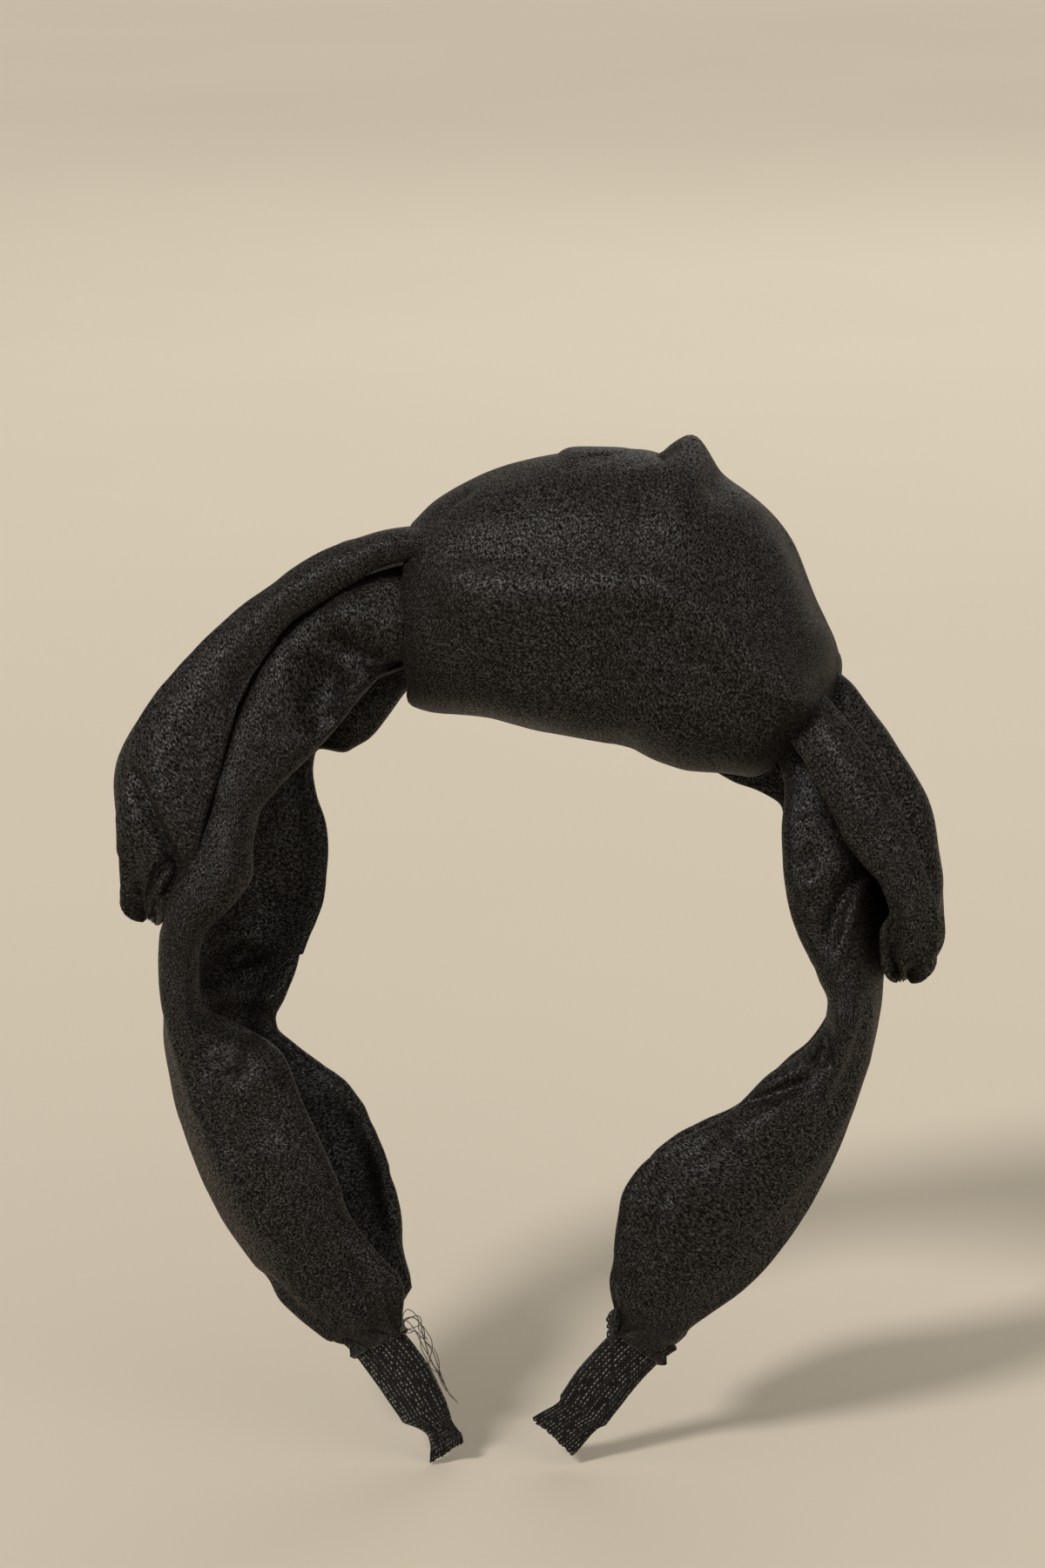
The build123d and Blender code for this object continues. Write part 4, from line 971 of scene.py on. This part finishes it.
# =============================================================== end sleeves
def end_sleeve(name, arm, mouth, stop, flap, seed):
    """A ribbed knit tube over the strip's tip, then a soft empty end: flap rows are centre x, centre z, x and z of the
    direction across, width, thickness."""
    start, end = mouth - 4.0, arm.end - stop
    s = np.concatenate([np.arange(start, end, 0.3), [end]])
    twist = arm.twist(s)
    at = (s - start) / (end - start)
    width = 10.4 + 0.3 * np.sin(at * 5 + seed) - 0.5 * smooth(at, 0.7, 1.0)
    thick = 4.6 - 0.6 * smooth(at, 0.7, 1.0)
    wales = 24
    m = wales * 8

    def ring(w, t):
        """An evenly spaced flat oval with ribs, as (across, through)."""
        fine = np.linspace(0, 2 * math.pi, 721)
        q = 0.8
        fy = -w / 2 * np.sign(np.cos(fine)) * np.abs(np.cos(fine)) ** q
        fr = -t / 2 * np.sign(np.sin(fine)) * np.abs(np.sin(fine)) ** q
        run = np.concatenate([[0], np.cumsum(np.hypot(np.diff(fy), np.diff(fr)))])
        pick = np.linspace(0, run[-1], m + 1)[:-1]
        y, r = np.interp(pick, run, fy), np.interp(pick, run, fr)
        ny, nr = np.gradient(r), -np.gradient(y)
        size = np.maximum(np.hypot(ny, nr), 1e-9)
        ny, nr = ny / size, nr / size
        if (ny * y + nr * r).sum() < 0:
            ny, nr = -ny, -nr
        rib = 0.20 * (np.abs(np.cos(np.arange(m) / 8 * math.pi)) - 0.5)
        return y + ny * rib, r + nr * rib

    rings = []
    p, t, n = arm.at(s)
    for k in range(len(s)):
        y, r = ring(width[k], thick[k])
        inward = np.array([n[k, 0], 0, n[k, 1]])
        back = np.array([0, 1.0, 0])
        c, sn = math.cos(twist[k]), math.sin(twist[k])
        across = back * c - inward * sn
        through = inward * c + back * sn
        rings.append(np.array([p[k, 0], 0, p[k, 1]]) + y[:, None] * across + r[:, None] * through)
    c, sn = math.cos(twist[-1]), math.sin(twist[-1])
    last_across = np.array([0, 1.0, 0]) * c - inward * sn
    keys = np.concatenate([[0.0], np.cumsum(np.hypot(np.diff([p[-1, 0]] + [f[0] for f in flap]), np.diff([p[-1, 1]] + [f[1] for f in flap])))])
    table = np.array([[p[-1, 0], p[-1, 1], last_across[0], last_across[1], last_across[2], width[-1], thick[-1]]]
                     + [[f[0], f[1], f[2], f[4], f[3], f[5], f[6]] for f in flap])
    steps = np.arange(0.3, keys[-1] + 0.01, 0.3)
    fine = soft_curve(keys, table, steps)
    rng = np.random.default_rng(seed)
    jag = np.convolve(np.tile(rng.normal(0, 0.3, m), 3), np.ones(4) / 4, "same")[m: 2 * m]
    for k, row in enumerate(fine):
        across = row[2:5] / np.linalg.norm(row[2:5])
        before = fine[max(k - 1, 0)][:2]
        after = fine[min(k + 1, len(fine) - 1)][:2]
        along = np.array([after[0] - before[0], 0, after[1] - before[1]])
        along = along / np.linalg.norm(along)
        through = np.cross(along, across)
        through /= np.linalg.norm(through)
        if through @ np.array([0, 1.0, 0]) * sn + through @ inward * c < 0:
            through = -through
        y, r = ring(row[5], row[6])
        share = y / (row[5] / 2)
        part = k / len(fine)
        wave = 0.55 * part * np.sin(share * 2.6 + seed * 1.7)
        pts = np.array([row[0], 0, row[1]]) + y[:, None] * across + (r + wave)[:, None] * through
        if k >= len(fine) - 2:
            pts = pts + along * jag[:, None]
        rings.append(pts)
    # the cut edge turns in on itself: an open flattened tube
    last = rings[-1]
    mid = last.mean(axis=0)
    for k, d in ((0.95, 0.05), (0.92, -0.5), (0.90, -1.8)):
        rel = last - mid
        rel = rel - through * (rel @ through)[:, None] * (1 - k) * 6.0
        rings.append(mid + rel * k + along * d)
    grid = np.array(rings)
    return outward(mesh_from_grid(name, grid)), grid


# flap rows: centre x, centre z, across x, across z, across y, width, thickness
LEFT_FLAP = [(-15.2, -137.4, -0.80, -0.42, 0.42, 6.6, 3.6), (-14.3, -138.6, -0.82, -0.46, 0.34, 5.2, 3.2), (-13.7, -139.7, -0.83, -0.50, 0.26, 5.4, 2.6),
             (-13.3, -140.8, -0.83, -0.53, 0.18, 6.2, 2.1), (-13.1, -141.8, -0.83, -0.55, 0.12, 6.9, 1.9), (-13.0, -143.0, -0.83, -0.56, 0.10, 7.2, 1.8)]
RIGHT_FLAP = [(11.0, -135.6, 0.78, -0.56, 0.28, 8.8, 3.4), (9.8, -136.6, 0.78, -0.58, 0.22, 8.5, 2.8), (8.6, -137.6, 0.77, -0.61, 0.18, 8.9, 2.3),
              (7.3, -138.7, 0.76, -0.64, 0.14, 9.4, 2.0), (6.4, -139.5, 0.75, -0.66, 0.12, 9.7, 1.8), (5.9, -139.9, 0.75, -0.66, 0.10, 9.8, 1.8)]
sleeve_left, SL_GRID = end_sleeve("end_sleeve_left_knit", LEFT, LEFT_MOUTH_S, 4.2, LEFT_FLAP, 5)
sleeve_right, SR_GRID = end_sleeve("end_sleeve_right_knit", RIGHT, RIGHT_MOUTH_S, 1.2, RIGHT_FLAP, 9)
for obj, node in ((sleeve_left, "end_sleeve_left"), (sleeve_right, "end_sleeve_right")):
    dress(obj, KNIT_LOOK)
    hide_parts(node)


# =============================================================== core
def core(name, arm, s0, s1):
    s = np.linspace(s0, s1, 90)
    tw = arm.twist(s)
    w, t = 6.0, 1.6
    a = np.radians(np.arange(0, 360, 15) + 7.5)
    cy = np.sign(np.cos(a)) * np.abs(np.cos(a)) ** 0.35 * w / 2
    cr = np.sign(np.sin(a)) * np.abs(np.sin(a)) ** 0.6 * t / 2
    ry = np.stack([cr[None] * np.cos(tw)[:, None] - cy[None] * -1 * np.sin(tw)[:, None] * -1,
                   cy[None] * np.cos(tw)[:, None] + cr[None] * np.sin(tw)[:, None]], axis=-1)
    grid = arm.place(s, ry)
    return outward(mesh_from_grid(name, grid))


core_left = core("core_band_left_half", LEFT, -12.0, LEFT.end - 4.6)
core_right = core("core_band_right_half", RIGHT, 12.2, RIGHT.end - 1.6)
for obj in (core_left, core_right):
    dress(obj, CORE_LOOK)
    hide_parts("core_band")


# =============================================================== threads
def tube_piece(name, lines, radius, sides=6, material=None):
    """One mesh of thin round fibres along the given lines (mm)."""
    verts, faces = [], []
    for line, rad in zip(lines, radius if hasattr(radius, "__len__") else [radius] * len(lines)):
        pts = np.asarray(line, float)
        t = np.gradient(pts, axis=0)
        t /= np.maximum(np.linalg.norm(t, axis=1, keepdims=True), 1e-9)
        ref = np.array([0.3, 0.9, 0.2])
        a = np.cross(t, ref)
        a /= np.maximum(np.linalg.norm(a, axis=1, keepdims=True), 1e-9)
        b = np.cross(t, a)
        base = len(verts)
        for k in range(len(pts)):
            rr = rad * (0.35 if k in (0, len(pts) - 1) else 1.0)
            for j in range(sides):
                q = 2 * math.pi * j / sides
                verts.append(((pts[k] + rr * (math.cos(q) * a[k] + math.sin(q) * b[k])) * MM).tolist())
        for k in range(len(pts) - 1):
            for j in range(sides):
                jj = (j + 1) % sides
                faces.append((base + k * sides + j, base + k * sides + jj, base + (k + 1) * sides + jj, base + (k + 1) * sides + j))
        faces.append(tuple(base + j for j in reversed(range(sides))))
        faces.append(tuple(base + (len(pts) - 1) * sides + j for j in range(sides)))
    mesh = bpy.data.meshes.new(name)
    mesh.from_pydata(verts, [], faces)
    mesh.polygons.foreach_set("use_smooth", [True] * len(mesh.polygons))
    mesh.update()
    obj = bpy.data.objects.new(name, mesh)
    bpy.context.scene.collection.objects.link(obj)
    return dress(obj, material or THREAD_LOOK)


def wander(points, count, amount, seed):
    """A fibre: a smooth line through points with small kinks."""
    points = np.asarray(points, float)
    keys = np.arange(len(points))
    line = soft_curve(keys, points, np.linspace(0, len(points) - 1, count))
    shift = np.stack([noise(line + k * 17.0, 2.6, seed + k) for k in range(3)], axis=-1)
    fade = np.minimum(np.linspace(0, 1, count) * 5, 1)[:, None]
    return line + shift * amount * fade


# binding threads round the gathered mouths
def binding(name, grid, mouth_index, node, seed, loose, ends_look=None):
    """Turns of thread round the gathered mouth, and the loose ends of the stitching."""
    ring = grid[mouth_index]
    mid = ring.mean(axis=0)
    lines = []
    nxt = grid[mouth_index - 1]
    for k, (share, grow) in enumerate(((0.0, 1.0), (0.45, 1.0), (0.9, 1.0))):
        loop = mid + (ring - mid) * grow
        other = nxt.mean(axis=0) + (nxt - nxt.mean(axis=0)) * grow
        pts = loop * (1 - share) + other * share
        pts = pts[::3]
        lines.append(np.vstack([pts, pts[:1]]))
    turns = tube_piece(name, lines, 0.13, 5, STITCH_LOOK)
    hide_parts(node)
    rooted = []
    for points, size in loose:  # each one starts from inside the nearest place on the gathered mouth
        first = np.asarray(points[0], float)
        near = ring[np.argmin(np.linalg.norm(ring - first, axis=1))]
        inner = near + (mid - near) / np.linalg.norm(mid - near) * 0.9
        rooted.append(np.vstack([inner, near * 0.55 + first * 0.45, np.asarray(points, float)]))
    ends = tube_piece(name.replace("_turns", "_ends"), [wander(points, 46, 0.4, seed * 20 + k) for k, points in enumerate(rooted)],
                      [size * 1.5 for points, size in loose], 5, ends_look or THREAD_LOOK)
    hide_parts(node)
    return turns, ends


LEFT_LOOSE = [
    ([(-20.6, -8.6, -116.8), (-18.2, -9.6, -117.2), (-16.4, -9.8, -119.6), (-15.6, -9.6, -123.0), (-13.6, -9.2, -127.4), (-11.0, -8.6, -132.6)], 0.075),
    ([(-20.4, -8.4, -117.2), (-18.6, -10.0, -118.4), (-16.8, -10.4, -121.4), (-14.6, -9.9, -125.6), (-13.0, -9.0, -129.6), (-10.2, -8.0, -133.8)], 0.065),
    ([(-20.8, -8.0, -117.6), (-19.0, -9.2, -116.6), (-17.0, -9.0, -118.0), (-16.0, -8.6, -121.6), (-14.4, -8.4, -124.6), (-12.2, -8.0, -130.8)], 0.065),
    ([(-20.2, -8.8, -118.2), (-17.6, -10.2, -119.6), (-16.2, -10.6, -122.6), (-15.0, -10.0, -127.0), (-12.6, -9.4, -131.2)], 0.06),
    ([(-20.9, -8.4, -116.4), (-19.6, -9.4, -115.4), (-17.4, -9.6, -117.4), (-16.6, -9.4, -120.4), (-15.4, -9.2, -122.2)], 0.06),
    ([(-19.8, -8.6, -118.6), (-17.0, -9.8, -118.2), (-15.4, -9.6, -120.8), (-14.6, -9.4, -123.8), (-14.9, -9.0, -126.6), (-12.6, -8.6, -128.4)], 0.055),
    ([(-18.0, -9.4, -119.0), (-16.2, -10.0, -121.6), (-13.8, -9.4, -124.4), (-12.8, -9.0, -128.8), (-11.8, -8.6, -131.0)], 0.055),
]
LEFT_LOOSE = [([tuple(np.array(q) + np.array((-0.45, 3.6, 0.0)) + np.array((1.0, 0.0, -1.8)) * max(0.0, 1 - k / 3)) for k, q in enumerate(points)], size)
              for points, size in LEFT_LOOSE]
RIGHT_LOOSE = []  # a frayed bunch at the sleeve's upper edge
bunch = np.random.RandomState(7)
for k in range(19):
    share = k / 18
    root = np.array([18.5, -5.6, -116.2]) * (1 - share) + np.array([17.3, -4.6, -120.8]) * share
    reach = (0.7 + 1.0 * math.sin(math.pi * min(1.0, share + 0.25))) * (0.35 + 0.75 * bunch.rand())
    drop = -0.5 - 1.3 * bunch.rand()
    RIGHT_LOOSE.append(([tuple(root), tuple(root + [-0.6 * reach, -0.7 - 0.4 * bunch.rand(), 0.35]), tuple(root + [-reach, -0.9, 0.4 * drop]),
                         tuple(root + [-0.7 * reach, -0.5, drop]), tuple(root + [-0.1, 0.1, drop - 0.4])], 0.12 + 0.03 * bunch.rand()))
binding_left, ends_left = binding("binding_thread_left_turns", LEFT_GRID, -2, "binding_thread_left", 1, LEFT_LOOSE)
binding_right, ends_right = binding("binding_thread_right_turns", RIGHT_GRID, -2, "binding_thread_right", 2, RIGHT_LOOSE, FRAY_LOOK)


def stitches(name, spot, inward, along, node):
    """Three short stitches through the tail's end."""
    spot, inward, along = (np.asarray(v, float) for v in (spot, inward, along))
    side = np.cross(inward, along)
    lines = []
    for k in (-1.1, 0.0, 1.1):
        c = spot + side * k
        lines.append([c - along * 1.7 + inward * 1.2, c - along * 1.0 - inward * 0.1, c - inward * 0.35, c + along * 1.0 - inward * 0.1, c + along * 1.7 + inward * 1.2])
    obj = tube_piece(name, [wander(l, 12, 0.05, 5) for l in lines], 0.16, 6, STITCH_LOOK)
    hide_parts(node)
    return obj


def arm_axes(arm, s):
    p, t, n = arm.at(np.array([s]))
    return (np.array([p[0, 0], 0, p[0, 1]]), np.array([n[0, 0], 0, n[0, 1]]), np.array([t[0, 0], 0, t[0, 1]]))


p, n, t = arm_axes(LEFT, 84.5)
tack_left = stitches("tack_stitches_left_thread", p - n * 4.4 + np.array([0, -6.0, 0]), n, t, "tack_stitches_left")
p, n, t = arm_axes(RIGHT, 93.6)
tack_right = stitches("tack_stitches_right_thread", p - n * 5.0 + np.array([0, -6.0, 0]), n, t, "tack_stitches_right")

# carried-over node
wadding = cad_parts["knot_pad"]
wadding.data.materials.clear()
wadding.data.materials.append(WADDING_LOOK)

# =============================================================== which body the knot and the end pieces follow; the other pieces are baked in place
for obj in (cover_left, tail_left, core_left, tack_left):
    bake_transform(obj)
for obj in (cover_right, tail_right, core_right, tack_right):
    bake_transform(obj)
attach(knot_wrap, "crown")
for obj in (sleeve_left, binding_left, ends_left):
    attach(obj, "left_arm")
for obj in (sleeve_right, binding_right, ends_right):
    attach(obj, "right_arm")
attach(behind, "crown")

# =============================================================== stage, light, camera


def material_plain(name, colour, rough=0.9):
    material, nodes, links, shader = node_tree(name)
    coords = mapped(nodes, links, (1, 1, 1), 0.0, "Object")
    n1 = texture_noise(nodes, links, coords, 3.0, 3.0, 0.5)
    a = tuple(c * 0.97 for c in colour)
    links.new(ramp(nodes, links, n1, [(0.3, a), (0.7, colour)]), shader.inputs["Base Color"])
    shader.inputs["Roughness"].default_value = rough
    shader.inputs["Specular IOR Level"].default_value = 0.2
    return material


def stage():
    lean = math.radians(12.0)
    normal = np.array([0.0, -math.sin(lean), math.cos(lean)])
    low = min(float((g.reshape(-1, 3) @ normal).min()) for g in (SL_GRID, SR_GRID))
    size = 40.0
    bpy.ops.mesh.primitive_grid_add(size=2 * size, x_subdivisions=4, y_subdivisions=4)
    floor = bpy.context.object
    floor.name = "floor"
    floor.rotation_euler = (lean, 0, 0)
    floor.location = Vector(normal * low * MM) - Vector(normal) * 0.0002
    floor.data.materials.append(material_plain("floor_pale", (0.645, 0.585, 0.485)))
    return floor


floor = stage()


def area(name, place, look_at, size, power, colour):
    light = bpy.data.lights.new(name, "AREA")
    light.shape = "DISK"
    light.size = size
    light.energy = power
    light.color = colour
    obj = bpy.data.objects.new(name, light)
    bpy.context.scene.collection.objects.link(obj)
    obj.location = place
    obj.rotation_euler = (Vector(look_at) - Vector(place)).to_track_quat("-Z", "Y").to_euler()
    return obj


def sun(name, place, angle, power, colour):
    light = bpy.data.lights.new(name, "SUN")
    light.angle = math.radians(angle)
    light.energy = power
    light.color = colour
    obj = bpy.data.objects.new(name, light)
    bpy.context.scene.collection.objects.link(obj)
    obj.location = place
    obj.rotation_euler = (Vector((0, 0, 0)) - Vector(place)).to_track_quat("-Z", "Y").to_euler()
    return obj


sun("key", (-0.64, -1.15, 0.86), 12, 1.80, (1.0, 0.965, 0.92))
sun("soft", (0.9, -1.2, 0.30), 60, 0.38, (1.0, 0.95, 0.89))
area("fill", (1.3, -1.2, 0.35), (0, 0, -0.05), 1.4, 1.5, (1.0, 0.95, 0.88))
area("back", (0.2, 1.4, 1.2), (0, 0, -0.05), 1.2, 4, (1.0, 0.97, 0.93))
world = bpy.data.worlds.new("room")
world.use_nodes = True
world.node_tree.nodes["Background"].inputs["Color"].default_value = (0.93, 0.88, 0.80, 1)
world.node_tree.nodes["Background"].inputs["Strength"].default_value = 0.50
bpy.context.scene.world = world

camera_data = bpy.data.cameras.new("camera")
camera_data.sensor_fit = "HORIZONTAL"
camera_data.sensor_width = 36.0
camera_data.lens = SCALE * DIST * 1000 / 1200 * 36.0
camera_data.clip_start = 0.01
camera_data.clip_end = 20
camera = bpy.data.objects.new("camera", camera_data)
bpy.context.scene.collection.objects.link(camera)
camera.location = EYE
camera.rotation_euler = (TARGET - camera.location).to_track_quat("-Z", "Y").to_euler()
bpy.context.scene.camera = camera
bpy.context.scene.view_settings.view_transform = "Standard"
